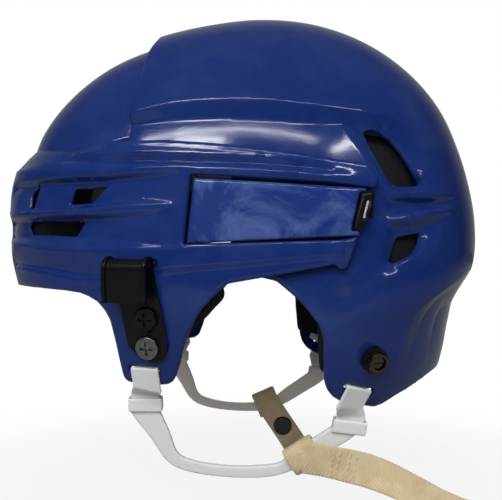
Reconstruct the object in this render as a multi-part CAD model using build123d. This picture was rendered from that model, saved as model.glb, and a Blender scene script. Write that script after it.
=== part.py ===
from build123d import *
from functools import lru_cache
import math
import os

# Ice hockey helmet: two overlapping plastic shells that slide on each other to set the length,
# side levers that lock the length, foam pads, white ear loops, chin strap, cage clips and snaps.
# X points to the face, Y to the wearer's left, Z up. The origin lies midway between the ears.

# Driving sizes of the outer form, in millimetres
shell_length = 264.0
crown_height = 178.5
half_width = 104.0
wall = 3.0
cut_overrun = 4.0
side_reach = 140.0
skin_tolerance = 0.04

# Levels of the skins, measured along the normal of the outer form
dome_drop = 5.5
dome_side_drop = 9.0
panel_recess = 4.0
arm_raise = 2.0
fin_raise = 0.5

# Fits and seats
pin_fit = 0.02
hinge_fit = 0.07
seat_gap = 0.3
touch_gap = 0.05

# Side lever, its hinge and its latch
lever_barrel_radius = 1.9
lever_pin_radius = 0.8
lever_pin_grip = 4.5
lever_play = 0.4
barrel_play = 0.5
latch_height = 3.4
latch_rise = 0.8
latch_barrel_radius = 1.5
latch_pin_radius = 0.6
latch_pin_grip = 1.1
latch_slot_length = 8.0
latch_slot_width = 2.2
latch_tooth_height = 1.3
latch_tooth_length = 2.4
rack_base = 0.8
rack_tooth_height = 0.9
rack_tooth_pitch = 2.0
rack_tooth_count = 4
rack_width = 9.0

# Cage clip, its screws and inserts
clip_thickness = 2.4
clip_wire_radius = 3.3
clip_hook_width = 20.5
clip_hook_height = 20.0
screw_head_radius = 5.6
screw_head_height = 2.4
screw_shank_radius = 2.3
screw_slot_width = 1.4
screw_slot_length = 6.4
screw_slot_depth = 1.1
nut_flange_radius = 6.2
nut_flange_height = 1.4
nut_barrel_radius = 3.3

# Rear snap
snap_spacer_radius = 6.4
snap_spacer_height = 3.6
snap_ring_radius = 5.1
snap_ring_height = 3.2
snap_recess_radius = 3.3
snap_recess_depth = 1.8
snap_screw_radius = 1.9
snap_head_radius = 2.7
snap_head_height = 0.8

# Ear loops and the straps that hold them
loop_side = 76.0
loop_tilt = 8.0
loop_thickness = 3.0
loop_reach = 66.0
loop_drop = 64.0
keeper_width = 16.6
keeper_height = 6.8
keeper_depth = 5.6
hanger_width = 14.2
hanger_thickness = 1.8
hanger_fit = 0.25
hanger_overlap = 9.5
head_gap = 0.9
hanger_head_width = 19.5
hanger_head_height = 4.2
tab_depth = 5.0
slot_height = 3.4
slot_play = 0.8
rear_lean = 8

# Chin strap webbing and its snap button
webbing_width = 16.0
webbing_thickness = 1.6
far_run_width = 11.0
near_run_width = 8.6
bar_play = 1.2
strap_sag = 3.0
strap_steps = 8
far_strap_lean = -23
near_strap_lean = -33
strap_drop_lean = 34
strap_drops = [(9.0, 4.0), (19.0, 4.6), (25.6, 5.0), (30.0, 8.6), (32.5, 15.0)]
strap_rises = [(12.0, 11.0), (7.0, 4.8), (0.0, 3.4)]
tail_side_step = 1.6
tail_turn_share = 0.75
button_step = 2
button_radius = 6.2
button_height = 2.2
button_gap = 0.15
button_stem_radius = 1.6
washer_height = 0.9

# Foam pads
pad_thickness = 13.0
dome_pad_thickness = 10.0
crown_pad_thickness = 14.0
lobe_pad_thickness = 9.0

# Radius of the outer form in the middle plane, as shares of crown_height, by angle from the face
profile_shares = [
    (-30, 0.560), (-18, 0.640), (-8, 0.690), (0, 0.725), (6, 0.752), (12, 0.782), (18, 0.825),
    (24, 0.857), (30, 0.903), (36, 0.930), (42, 0.966), (50, 0.992), (60, 1.005), (70, 1.001),
    (80, 0.997), (90, 1.000), (100, 0.997), (110, 0.980), (120, 0.947), (128, 0.908),
    (136, 0.855), (144, 0.805), (152, 0.758), (160, 0.706), (168, 0.632), (176, 0.594),
    (184, 0.576), (192, 0.563), (200, 0.549), (210, 0.527), (225, 0.493),
]
length_share = 1.479
side_power_share = 2.35
egg_share = 0.12
back_egg_share = 0.02
tuck_share = 0.10
tuck_start_share = 0.25
tuck_span_share = 0.39
shell_reach = shell_length / length_share

# Grid of the skins
first_turn = -29
last_turn = 222
turn_count = 36
edge_spread = 83
spread_count = 25


def profile_radius(turn):
    """Share of the crown height at an angle, on a smooth curve through profile_shares."""
    last = len(profile_shares) - 1
    place = 0
    while place < last - 1 and profile_shares[place + 1][0] <= turn:
        place += 1

    def slope(index):
        low = profile_shares[max(index - 1, 0)]
        high = profile_shares[min(index + 1, last)]
        return (high[1] - low[1]) / (high[0] - low[0])

    start, end = profile_shares[place], profile_shares[place + 1]
    span = end[0] - start[0]
    t = min(max((turn - start[0]) / span, 0), 1)
    rise = t * t * (3 - 2 * t)
    pull = span * (t * (1 - t) ** 2 * slope(place) - t * t * (1 - t) * slope(place + 1))
    return start[1] + (end[1] - start[1]) * rise + pull


def form_point(turn, spread):
    """Point of the outer form: turn round the ear axis, spread from the middle to the side."""
    lean, swing = math.radians(spread), math.radians(turn)
    part = profile_radius(turn)
    upright = abs(math.cos(lean) / part) ** side_power_share
    flank = abs(math.sin(lean)) ** side_power_share
    size = (upright + flank) ** (-1 / side_power_share)
    along = size * math.cos(lean) * math.cos(swing)
    above = size * math.cos(lean) * math.sin(swing)
    egg = 1 - egg_share * max(along, 0) ** 2 - back_egg_share * max(-along, 0) ** 2
    tuck = 1 - tuck_share * (max(tuck_start_share - above, 0) / tuck_span_share) ** 2
    side = size * math.sin(lean) * egg * tuck
    return Vector(shell_reach * along, half_width * side, crown_height * above)


def form_normal(turn, spread):
    """Outward unit normal of the outer form."""
    step = 0.05
    round_way = form_point(turn + step, spread) - form_point(turn - step, spread)
    side_way = form_point(turn, spread + step) - form_point(turn, spread - step)
    return side_way.cross(round_way).normalized()


def form_place(x, z, side=1):
    """Turn and spread of the point of the outer form that lies at x and z on one side."""
    turn = math.degrees(math.atan2(z / crown_height, x / shell_reach))
    if turn < -100:
        turn += 360
    reach = math.hypot(x / shell_reach, z / crown_height)
    low, high = 0.0, 89.0
    for _ in range(36):
        spread = (low + high) / 2
        point = form_point(turn, spread)
        if math.hypot(point.X / shell_reach, point.Z / crown_height) > reach:
            low = spread
        else:
            high = spread
    return turn, side * low


def side_point(x, z, lift=0.0, side=1):
    """Point over the outer form, lifted along its normal."""
    turn, spread = form_place(x, z, side)
    return form_point(turn, spread) + form_normal(turn, spread) * lift


def side_plane(x, z, lift=0.0, side=1):
    """Plane on the outer form: Y up along the skin, Z outward."""
    turn, spread = form_place(x, z, side)
    normal = form_normal(turn, spread)
    level = Vector(0, 0, 1).cross(normal)
    return Plane(form_point(turn, spread) + normal * lift, x_dir=level, z_dir=normal)


def scaled(outline_shares):
    """Side view points from shares of shell_length and crown_height."""
    return [(x * shell_length, z * crown_height) for x, z in outline_shares]


# Grid of points and normals of the outer form, shared by every skin
turns = [first_turn + (last_turn - first_turn) * i / (turn_count - 1) for i in range(turn_count)]
spreads = [edge_spread * (2 * j / (spread_count - 1) - 1) for j in range(spread_count)]
form_grid = [[(form_point(t, s), form_normal(t, s)) for s in spreads] for t in turns]


def skin_face(lift):
    """Smooth face that lies at one lift over the outer form."""
    rows = [[point + normal * lift for point, normal in row] for row in form_grid]
    return Face.make_surface_from_array_of_points(rows, tol=skin_tolerance, min_deg=3, max_deg=3)


@lru_cache
def skin(outer, inner):
    """Closed sheet between two lifts over the outer form."""
    top, bottom = skin_face(outer), skin_face(inner)
    rims = []
    for edge in top.edges():
        middle = edge.position_at(0.5)
        partner = min(bottom.edges(), key=lambda other: (other.position_at(0.5) - middle).length)
        rims.append(Face.make_surface_from_curves(edge, partner))
    return Solid(Shell([top, bottom] + rims))


def flat(outline_shares):
    """Flat face of a side view outline given in shares of shell_length and crown_height."""
    return make_face(Polyline(scaled(outline_shares), close=True))


def through(face, side=0):
    """Block over a side view face: through the helmet, or over one side only."""
    if side == 0:
        return extrude(Plane.XZ * face, side_reach, both=True)
    return extrude(Plane.XZ * face, -side * side_reach)


def one(shape):
    """The largest solid of a result."""
    return max(shape.solids(), key=lambda solid: solid.volume)


def fused(*shapes):
    """Shapes joined to one solid."""
    return one(shapes[0].fuse(*shapes[1:]))


def piece_of(outer, inner, face, side=0):
    """Part of the sheet between two lifts that lies over a side view face."""
    return one(skin(outer, inner) & through(face, side))


def step_wall(high_face, low_face, high, low, side=0):
    """Wall that joins a raised part of a shell to a lower part beside it."""
    strip = high_face & offset(low_face, wall, kind=Kind.INTERSECTION)
    return (skin(high, low - wall) & through(strip, side)).solids()


# Outlines in side view, as shares of shell_length and crown_height
front_outline_shares = [
    (0.620, 0.165), (0.530, 0.163), (0.424, 0.163), (0.367, 0.160), (0.335, 0.155),
    (0.319, 0.147), (0.301, 0.133), (0.287, 0.111), (0.277, 0.085), (0.268, 0.029),
    (0.257, -0.062), (0.254, -0.075), (0.246, -0.084), (0.187, -0.086), (0.173, -0.084),
    (0.162, -0.073), (0.153, -0.038), (0.142, 0.025), (0.129, 0.073), (0.115, 0.110),
    (0.095, 0.144), (0.066, 0.184), (-0.122, 0.233), (-0.134, 0.218), (-0.145, 0.227),
    (-0.162, 0.305), (-0.137, 0.296), (0.143, 0.284), (0.132, 0.469), (-0.125, 0.446),
    (-0.192, 0.435), (-0.200, 0.442), (-0.203, 0.463), (-0.185, 0.497), (-0.126, 0.509),
    (-0.063, 0.524), (0.014, 0.538), (0.093, 0.552), (0.172, 0.561), (0.255, 0.564),
    (0.302, 0.564), (0.290, 0.578), (0.250, 0.596), (0.144, 0.604), (0.144, 1.100),
    (0.620, 1.100),
]
rear_outline_shares = [
    (0.205, 1.120), (0.213, 0.935), (0.220, 0.899), (0.231, 0.851), (0.237, 0.770),
    (0.246, 0.712), (0.253, 0.664), (0.256, 0.625), (0.260, 0.567), (0.259, 0.538),
    (0.240, 0.515), (0.070, 0.495), (0.062, 0.480), (0.062, 0.260), (0.050, 0.215),
    (-0.020, 0.190), (-0.048, 0.155), (-0.060, 0.138), (-0.078, 0.108), (-0.097, 0.072),
    (-0.105, 0.035), (-0.108, -0.079), (-0.113, -0.105), (-0.124, -0.126), (-0.142, -0.143),
    (-0.207, -0.168), (-0.223, -0.162), (-0.248, -0.142), (-0.290, -0.117), (-0.334, -0.093),
    (-0.402, -0.075), (-0.600, -0.070), (-0.600, 1.120),
]
panel_outline_shares = [
    (0.330, 0.665), (0.250, 0.650), (0.175, 0.673), (0.064, 0.681), (-0.065, 0.667),
    (-0.181, 0.651), (-0.252, 0.635), (-0.294, 0.577), (-0.329, 0.508), (-0.350, 0.440),
    (-0.345, 0.345), (-0.318, 0.265), (-0.231, 0.205), (-0.145, 0.150), (-0.070, 0.125),
    (0.330, 0.125),
]
dome_outline_shares = [
    (0.620, 0.577), (0.508, 0.577), (0.440, 0.558), (0.382, 0.546), (0.356, 0.551),
    (0.302, 0.568), (0.290, 0.577), (0.100, 0.590), (0.100, 1.200), (0.620, 1.200),
]
dome_side_shares = [
    (0.100, 0.560), (0.100, 0.722), (0.150, 0.716), (0.175, 0.708), (0.255, 0.690),
    (0.292, 0.675), (0.340, 0.605), (0.350, 0.540),
]
slot_tip_share = 0.303
front_vent_shares = [
    [(0.474, 0.452), (0.428, 0.460), (0.447, 0.382), (0.463, 0.384)],
    [(0.360, 0.394), (0.352, 0.438), (0.290, 0.438), (0.304, 0.397)],
    [(0.466, 0.340), (0.335, 0.347), (0.346, 0.308), (0.458, 0.311)],
]
rear_vent_shares = [
    [(-0.185, 0.598), (-0.216, 0.604), (-0.235, 0.588), (-0.264, 0.541), (-0.296, 0.461),
     (-0.292, 0.450), (-0.249, 0.447), (-0.242, 0.458), (-0.212, 0.530)],
    [(-0.246, 0.306), (-0.290, 0.315), (-0.284, 0.279), (-0.265, 0.255), (-0.233, 0.239),
     (-0.230, 0.247)],
]
fin_shares = [
    [(-0.228, 0.422), (-0.262, 0.446), (-0.297, 0.456), (-0.344, 0.443), (-0.372, 0.422),
     (-0.355, 0.411), (-0.284, 0.406), (-0.231, 0.407)],
    [(-0.226, 0.352), (-0.294, 0.378), (-0.367, 0.379), (-0.358, 0.364), (-0.339, 0.346),
     (-0.293, 0.317), (-0.229, 0.335)],
]
lever_outline_shares = [
    (0.126, 0.458), (0.137, 0.288), (-0.123, 0.305), (-0.167, 0.309), (-0.164, 0.319),
    (-0.150, 0.319), (-0.168, 0.424), (-0.179, 0.424), (-0.179, 0.432), (-0.124, 0.436),
]
lever_hinge_shares = [(0.1255, 0.447), (0.1355, 0.298)]
latch_outline_shares = [
    (-0.1535, 0.322), (-0.1715, 0.421), (-0.194, 0.422), (-0.191, 0.400), (-0.177, 0.343),
    (-0.164, 0.322),
]
latch_hinge_shares = [(-0.1765, 0.4175), (-0.1595, 0.3255)]
latch_slot_share = (-0.183, 0.385)
clip_plate_shares = [
    (0.264, 0.228), (0.202, 0.228), (0.194, 0.205), (0.172, 0.030), (0.174, 0.005),
    (0.181, -0.014), (0.190, -0.022), (0.205, -0.022), (0.218, -0.014), (0.243, 0.016),
    (0.258, 0.130),
]
clip_hook_share = (0.2295, 0.1795)
clip_screw_shares = [(0.2046, 0.0960), (0.2022, 0.0225)]
clip_window_shares = [(0.198, 0.062), (0.208, 0.062), (0.207, 0.056), (0.198, 0.056)]
front_slot_shares = [(0.245, -0.045), (0.179, -0.046)]
rear_slot_shares = [(-0.135, -0.092), (-0.202, -0.120)]
snap_place_share = (-0.1935, -0.018)

# Pads in side view, with the side places between which they lie as shares of half_width
forehead_pad_shares = [
    (0.600, 0.175), (0.400, 0.175), (0.350, 0.185), (0.350, 0.520), (0.430, 0.520),
    (0.600, 0.540),
]
dome_pad_shares = [
    (0.600, 0.625), (0.430, 0.640), (0.250, 0.730), (0.175, 0.770), (0.175, 1.100),
    (0.600, 1.100),
]
temple_pad_shares = [
    (0.325, 0.200), (0.185, 0.200), (0.172, 0.160), (0.170, 0.005), (0.158, -0.005),
    (0.147, 0.012), (0.138, 0.042), (0.117, 0.078), (0.104, 0.092), (0.090, 0.118),
    (0.070, 0.146), (0.072, 0.170), (0.120, 0.235), (0.158, 0.290), (0.158, 0.460),
    (0.300, 0.470), (0.325, 0.440),
]
crown_pad_shares = [(0.090, 0.690), (-0.300, 0.690), (-0.300, 1.100), (0.090, 1.100)]
side_pad_shares = [(0.045, 0.235), (-0.115, 0.235), (-0.250, 0.300), (-0.300, 0.440),
                   (-0.270, 0.600), (0.045, 0.620)]
nape_pad_shares = [
    (-0.345, -0.050), (-0.520, -0.050), (-0.520, 0.420), (-0.372, 0.420), (-0.372, 0.260),
    (-0.345, 0.200),
]
lobe_pad_shares = [
    (-0.092, 0.110), (-0.094, 0.040), (-0.099, -0.050), (-0.105, -0.062), (-0.126, -0.064),
    (-0.150, -0.040), (-0.160, 0.020), (-0.215, 0.070), (-0.230, 0.110), (-0.150, 0.105),
]
forehead_pad_side_share = 0.62
dome_pad_side_share = 0.50
crown_pad_side_share = 0.56
nape_pad_side_share = 0.62

# Ear loop in its own plane, as shares of loop_reach forward and loop_drop down
loop_outer_shares = [
    (0.996, 0.545), (0.925, 0.431), (0.872, 0.362), (0.795, 0.239), (0.721, 0.131),
    (0.602, 0.061), (0.482, 0.031), (0.309, 0.008), (0.136, 0.000), (-0.035, 0.008),
    (-0.124, 0.027), (-0.233, 0.069), (-0.470, 0.208), (-0.585, 0.276), (-0.702, 0.372),
]
loop_inner_shares = [
    (-0.545, 0.440), (-0.348, 0.303), (-0.167, 0.162), (-0.124, 0.123), (-0.035, 0.100),
    (0.136, 0.089), (0.309, 0.095), (0.482, 0.123), (0.548, 0.141), (0.615, 0.170),
    (0.653, 0.212), (0.683, 0.300), (0.721, 0.409), (0.780, 0.545),
]
front_keeper_share = (0.876, 0.588)
rear_keeper_share = (-0.629, 0.410)
far_strap_share = (-0.068, 0.098)
near_strap_share = (-0.290, 0.178)
tail_shares = [(-0.480, 0.125), (-0.760, 0.072), (-1.150, -0.012),
               (-1.480, -0.090), (-1.780, -0.130)]


def slot_cut(ends_shares, side):
    """Slot through a shell for a hanger, between two places of its middle line."""
    return slot_frame(ends_shares, 0, side) * Box(
        hanger_width + 2 * slot_play, slot_height, 4 * (wall + cut_overrun))


def slot_frame(ends_shares, lift, side):
    """Plane in the middle of a hanger slot: X along the slot, Y up, Z outward."""
    (ax, az), (bx, bz) = scaled(ends_shares)
    frame = side_plane((ax + bx) / 2, (az + bz) / 2, lift, side)
    along = side_point(ax, az, lift, side) - side_point(bx, bz, lift, side)
    along -= frame.z_dir * along.dot(frame.z_dir)
    return Plane(frame.origin, x_dir=along * -side, z_dir=frame.z_dir)


def bar(start, end, radius):
    """Round bar between two points."""
    way = end - start
    return Plane(start, z_dir=way) * Cylinder(radius, way.length, align=standing)


def hinge_line(ends_shares, side):
    """Ends of a straight hinge line inside the lever's thickness, top first."""
    return [side_point(x, z, arm_raise - wall / 2, side) for x, z in scaled(ends_shares)]


def stretched(ends, more):
    """The same line made longer at both ends."""
    start, end = ends
    way = (end - start).normalized()
    return start - way * more, end + way * more


def place_plane(place_share, lift, side):
    """Plane over the skin at a place given in shares."""
    (x, z), = scaled([place_share])
    return side_plane(x, z, lift, side)


def insert_hole(place_share, side):
    """Hole through a shell for the barrel of a threaded insert."""
    return place_plane(place_share, 0, side) * Cylinder(
        nut_barrel_radius + hinge_fit, 4 * (wall + cut_overrun))


def make_rear_shell():
    """Rear shell: raised crown, lower side panels with vents and fins, slots and snap holes."""
    rear = flat(rear_outline_shares)
    panel = rear & flat(panel_outline_shares)
    crown = rear - flat(panel_outline_shares)
    solids = (skin(0, -wall) & through(crown)).solids()
    solids += (skin(-panel_recess, -panel_recess - wall) & through(panel)).solids()
    solids += step_wall(crown, panel, 0, -panel_recess)
    fin_skin = skin(fin_raise, -panel_recess - wall / 2)
    for outline in fin_shares:
        solids += (fin_skin & through(flat(outline) & panel)).solids()
    cuts = [through(flat(outline)) for outline in rear_vent_shares]
    for side in (1, -1):
        cuts.append(slot_cut(rear_slot_shares, side))
        cuts.append(insert_hole(snap_place_share, side))
    return one(fused(*solids) - cuts)


def make_front_shell():
    """Front shell: dome that runs under the crown, brow with vents, side arms and lobes."""
    front = flat(front_outline_shares)
    dome = front & flat(dome_outline_shares)
    band = front - flat(dome_outline_shares)
    low_dome = dome & flat(dome_side_shares)
    high_dome = dome - flat(dome_side_shares)
    tip, ahead = slot_tip_share * shell_length, shell_length
    joined = band & (Pos(tip, 0) * Rectangle(ahead, ahead * 2, align=(Align.MIN, Align.CENTER)))
    solids = (skin(arm_raise, arm_raise - wall) & through(band)).solids()
    solids += (skin(-dome_drop, -dome_drop - wall) & through(high_dome)).solids()
    solids += (skin(-dome_side_drop, -dome_side_drop - wall) & through(low_dome)).solids()
    solids += step_wall(high_dome, low_dome, -dome_drop, -dome_side_drop)
    solids += step_wall(joined, high_dome, arm_raise, -dome_drop)
    solids += step_wall(joined, low_dome, arm_raise, -dome_side_drop)
    cuts = [through(flat(outline)) for outline in front_vent_shares]
    for side in (1, -1):
        cuts.append(slot_cut(front_slot_shares, side))
        cuts += [insert_hole(place_share, side) for place_share in clip_screw_shares]
        line = hinge_line(lever_hinge_shares, side)
        cuts.append(bar(*stretched(line, lever_pin_grip + pin_fit), lever_pin_radius + pin_fit))
        cuts.append(bar(*stretched(line, barrel_play), lever_barrel_radius + barrel_play))
    return one(fused(*solids) - cuts)


def make_lever(side):
    """Side lever with its hinge barrel at the front and ears for the latch at the rear."""
    plate = piece_of(arm_raise, arm_raise - wall, flat(lever_outline_shares), side)
    hinge = hinge_line(lever_hinge_shares, side)
    latch = hinge_line(latch_hinge_shares, side)
    cuts = [
        bar(*stretched(hinge, cut_overrun), lever_pin_radius + hinge_fit),
        bar(*stretched(latch, latch_pin_grip + pin_fit), latch_pin_radius + pin_fit),
        bar(*latch, latch_barrel_radius + barrel_play),
    ]
    return one(fused(plate, bar(*hinge, lever_barrel_radius)) - cuts)


def make_lever_pin(side):
    """Hinge pin of the lever, held in the two arms of the front shell."""
    return bar(*stretched(hinge_line(lever_hinge_shares, side), lever_pin_grip), lever_pin_radius)


def make_latch_pin(side):
    """Hinge pin of the latch, held in the two ears of the lever."""
    return bar(*stretched(hinge_line(latch_hinge_shares, side), latch_pin_grip), latch_pin_radius)


def latch_frame(lift, side):
    """Plane over the latch with X along its finger slot."""
    (ax, az), (bx, bz) = scaled(latch_hinge_shares)
    turn = math.degrees(math.atan2(az - bz, side * (bx - ax)))
    return Plane(place_plane(latch_slot_share, lift, side) * Rot(0, 0, turn))


def make_latch(side):
    """Black release latch with a finger slot and a tooth that stands over the rack."""
    outer = arm_raise + latch_rise
    plate = piece_of(outer, outer - latch_height, flat(latch_outline_shares), side)
    hinge = hinge_line(latch_hinge_shares, side)
    barrel = bar(*stretched(hinge, -lever_play), latch_barrel_radius)
    tooth = latch_frame(outer - latch_height, side) * Box(
        latch_slot_length, latch_tooth_length, 2 * latch_tooth_height)
    cuts = [
        latch_frame(outer, side) * Box(latch_slot_length, latch_slot_width, latch_height),
        bar(*stretched(hinge, cut_overrun), latch_pin_radius + hinge_fit),
    ]
    return one(fused(plate, barrel, tooth) - cuts)


def make_rack(side):
    """Toothed rack on the side panel of the rear shell, under the latch."""
    frame = place_plane(latch_slot_share, -panel_recess, side)
    length = rack_tooth_pitch * rack_tooth_count
    seat = touch_gap - panel_recess
    block = frame * Box(length, rack_width, 4 * wall)
    solids = [one(skin(seat + rack_base, seat) & block)]
    for index in range(rack_tooth_count):
        place = (index + 0.5) * rack_tooth_pitch - length / 2
        solids.append(frame * (Pos(place, 0, rack_base / 2) * Box(
            rack_tooth_pitch / 2, rack_width, rack_base / 2 + rack_tooth_height, align=standing)))
    return fused(*solids)


def make_clip(side):
    """Cage clip: a screwed plate that curls outward and down round the cage wire."""
    low = arm_raise + touch_gap
    plate = piece_of(low + clip_thickness, low, flat(clip_plate_shares), side)
    inner = clip_wire_radius
    outer = inner + clip_thickness
    leg = clip_hook_height - outer
    bend, legs = Pos(leg / 2, outer), Pos(0, outer)
    profile = bend * Circle(outer) + legs * Rectangle(leg, 2 * outer)
    profile -= bend * Circle(inner) + legs * Rectangle(leg, 2 * inner)
    profile -= Pos(-leg / 2, outer) * Rectangle(cut_overrun, 2 * inner)
    hook = extrude(Plane.YZ * profile, clip_hook_width / 2, both=True)
    hook = place_plane(clip_hook_share, low, side) * hook
    cuts = [through(flat(clip_window_shares), side)]
    for place_share in clip_screw_shares:
        cuts.append(place_plane(place_share, low, side) * Cylinder(
            screw_shank_radius + hinge_fit, 4 * clip_thickness))
    return one(fused(plate, hook) - cuts)


def make_clip_screws():
    """Cross head screws of both cage clips."""
    seat = arm_raise + touch_gap + clip_thickness + seat_gap / 2
    head = Cylinder(screw_head_radius, screw_head_height, align=standing)
    head = fillet(head.edges().group_by(Axis.Z)[-1], screw_head_height / 3)
    shank = Cylinder(screw_shank_radius, clip_thickness + wall + nut_flange_height, align=hanging)
    top = Pos(0, 0, screw_head_height)
    cross = top * Box(screw_slot_length, screw_slot_width, 2 * screw_slot_depth)
    cross += top * Box(screw_slot_width, screw_slot_length, 2 * screw_slot_depth)
    screw = head + shank - cross
    return [place_plane(place_share, seat, side) * screw
            for side in (1, -1) for place_share in clip_screw_shares]


def insert_shape(bore_radius):
    """Threaded insert: a flange below zero and a barrel that fills the hole in the shell."""
    flange = Cylinder(nut_flange_radius, nut_flange_height, align=hanging)
    barrel = Cylinder(nut_barrel_radius, wall, align=standing)
    return flange + barrel - Cylinder(bore_radius, 4 * wall)


def make_clip_nuts():
    """Threaded inserts behind the cage clips, their flanges inside the front shell."""
    insert = insert_shape(screw_shank_radius + pin_fit)
    return [place_plane(place_share, arm_raise - wall - seat_gap, side) * insert
            for side in (1, -1) for place_share in clip_screw_shares]


def make_snap_spacers():
    """Black spacers between the rear shell and the snap studs."""
    ring = Cylinder(snap_spacer_radius, snap_spacer_height, align=standing)
    ring -= Cylinder(snap_screw_radius + hinge_fit, 4 * snap_spacer_height)
    return [place_plane(snap_place_share, seat_gap, side) * ring for side in (1, -1)]


def make_snap_studs():
    """Brass snap studs: a round ring that a strap snaps on, with a recess for the screw head."""
    base = seat_gap + snap_spacer_height
    stud = Cylinder(snap_ring_radius, snap_ring_height, align=standing)
    stud = fillet(stud.edges().group_by(Axis.Z)[-1], snap_ring_height / 4)
    stud -= Pos(0, 0, snap_ring_height) * Cylinder(snap_recess_radius, 2 * snap_recess_depth)
    stud -= Cylinder(snap_screw_radius + hinge_fit, 4 * snap_ring_height)
    return [place_plane(snap_place_share, base, side) * stud for side in (1, -1)]


def make_snap_screws():
    """Screws that hold the rear snaps, with their heads in the recesses of the studs."""
    seat = seat_gap + snap_spacer_height + snap_ring_height - snap_recess_depth
    shank = Cylinder(snap_screw_radius, seat + wall, align=hanging)
    head = Cylinder(snap_head_radius, snap_head_height, align=standing)
    groove = Pos(0, 0, snap_head_height) * Box(
        4 * snap_head_radius, screw_slot_width / 2, snap_head_height)
    return [place_plane(snap_place_share, seat, side) * (head + shank - groove)
            for side in (1, -1)]


def make_snap_nuts():
    """Threaded inserts of the rear snaps, their flanges inside the rear shell."""
    insert = insert_shape(snap_screw_radius + pin_fit)
    return [place_plane(snap_place_share, -wall - seat_gap, side) * insert for side in (1, -1)]


def loop_plane(side):
    """Plane of an ear loop from its lowest point: X forward, Y up and leaning outward."""
    lean = math.radians(loop_tilt)
    return Plane((0, side * loop_side, -loop_drop), x_dir=(1, 0, 0),
                 z_dir=(0, -math.cos(lean), side * math.sin(lean)))


def loop_frame(place_share, side, lean=0):
    """Plane on an ear loop at a place in shares, turned in the loop's own plane."""
    x, y = place_share[0] * loop_reach, place_share[1] * loop_drop
    return Plane(loop_plane(side) * Pos(x, y, 0) * Rot(0, 0, lean))


def make_loop(side):
    """White ear loop with a keeper block at each end."""
    outer = [(x * loop_reach, y * loop_drop) for x, y in loop_outer_shares]
    inner = [(x * loop_reach, y * loop_drop) for x, y in loop_inner_shares]
    outline = [Spline(outer), Line(outer[-1], inner[0]), Spline(inner), Line(inner[-1], outer[0])]
    ribbon = extrude(loop_plane(side) * make_face(outline), loop_thickness / 2, both=True)
    keepers = [loop_frame(front_keeper_share, side), loop_frame(rear_keeper_share, side, rear_lean)]
    block = Box(keeper_width, keeper_height, keeper_depth)
    pocket = Pos(0, keeper_height / 2, 0) * Box(
        hanger_width + 2 * hanger_fit, 2 * tab_depth, hanger_thickness + 4 * hanger_fit)
    body = fused(one(ribbon), *[keeper * block for keeper in keepers])
    return one(body - [keeper * pocket for keeper in keepers])


def ribbon(points, ways, width, thickness):
    """Flat strap through points, with its width along the given ways."""
    sections = []
    for index, point in enumerate(points):
        before, after = points[max(index - 1, 0)], points[min(index + 1, len(points) - 1)]
        run = (after - before).normalized()
        across = ways[index] - run * ways[index].dot(run)
        sections.append(Plane(point, x_dir=across, z_dir=run) * Rectangle(width, thickness))
    return loft(sections, ruled=True)


def make_hanger(slot_shares, lift, keeper_share, lean, side):
    """White strap that comes out of a shell slot and goes down into a keeper."""
    thick = hanger_thickness
    slot = slot_frame(slot_shares, lift, side)
    inside, outside = -wall - head_gap - thick / 2, seat_gap + thick / 2
    head = slot * (Pos(0, hanger_head_height / 2 - thick / 2, inside) * Box(
        hanger_head_width, hanger_head_height, thick))
    neck = slot * (Pos(0, 0, (inside + outside) / 2) * Box(
        hanger_width - thick, thick, outside - inside))
    keeper = Plane(loop_frame(keeper_share, side, lean) * Pos(0, keeper_height / 2, 0))
    across = keeper.x_dir * -side
    places = [slot * Pos(0, thick, outside), slot * Pos(0, -hanger_overlap, outside),
              keeper * Pos(0, thick, 0), keeper * Pos(0, hanger_fit - tab_depth, 0)]
    drop = ribbon([place.position for place in places], [slot.x_dir, slot.x_dir, across, across],
                  hanger_width, thick)
    return fused(head, neck, drop)


def sleeve(frame, width):
    """Webbing folded round a run of a loop of this width; X of the frame lies along the run."""
    width, depth = width + 2 * bar_play, loop_thickness + 2 * bar_play
    thick = 2 * webbing_thickness
    ring = RectangleRounded(width + thick, depth + thick, depth / 2)
    ring -= RectangleRounded(width, depth, depth / 3)
    return extrude(frame * (Plane.YZ * ring), webbing_width / 2, both=True)


def strap_ends():
    """Planes at the far and the near wrap, X along the run of each loop."""
    far = loop_frame(far_strap_share, -1, far_strap_lean)
    return far, loop_frame(near_strap_share, 1, near_strap_lean)


def strap_path():
    """Middle line of the chin strap between its two wraps, with its width directions.

    It hangs down from the far wrap with its face to the side, bends towards the near
    loop, crosses over and comes up behind the near wrap.
    """
    far, near = strap_ends()
    lean = math.radians(strap_drop_lean)
    down, across = Vector(-math.sin(lean), 0, -math.cos(lean)), Vector(math.cos(lean), 0, -math.sin(lean))
    rise = loop_thickness / 2 + bar_play + webbing_thickness / 2
    points, ways = [far.origin - far.z_dir * rise], [far.x_dir]
    for drop, offset in strap_drops:
        points.append(far.origin + down * drop - far.z_dir * offset)
        ways.append(across)
    rises = [near.origin - near.y_dir * drop + near.z_dir * offset for drop, offset in strap_rises]
    start, run = points[-1], rises[0] - points[-1]
    for step in range(1, strap_steps):
        share = step / strap_steps
        points.append(start + run * share - Vector(0, 0, strap_sag * 4 * share * (1 - share)))
        ways.append(across * (1 - share) + near.x_dir * share)
    return points + rises, ways + [near.x_dir] * len(rises)


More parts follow.
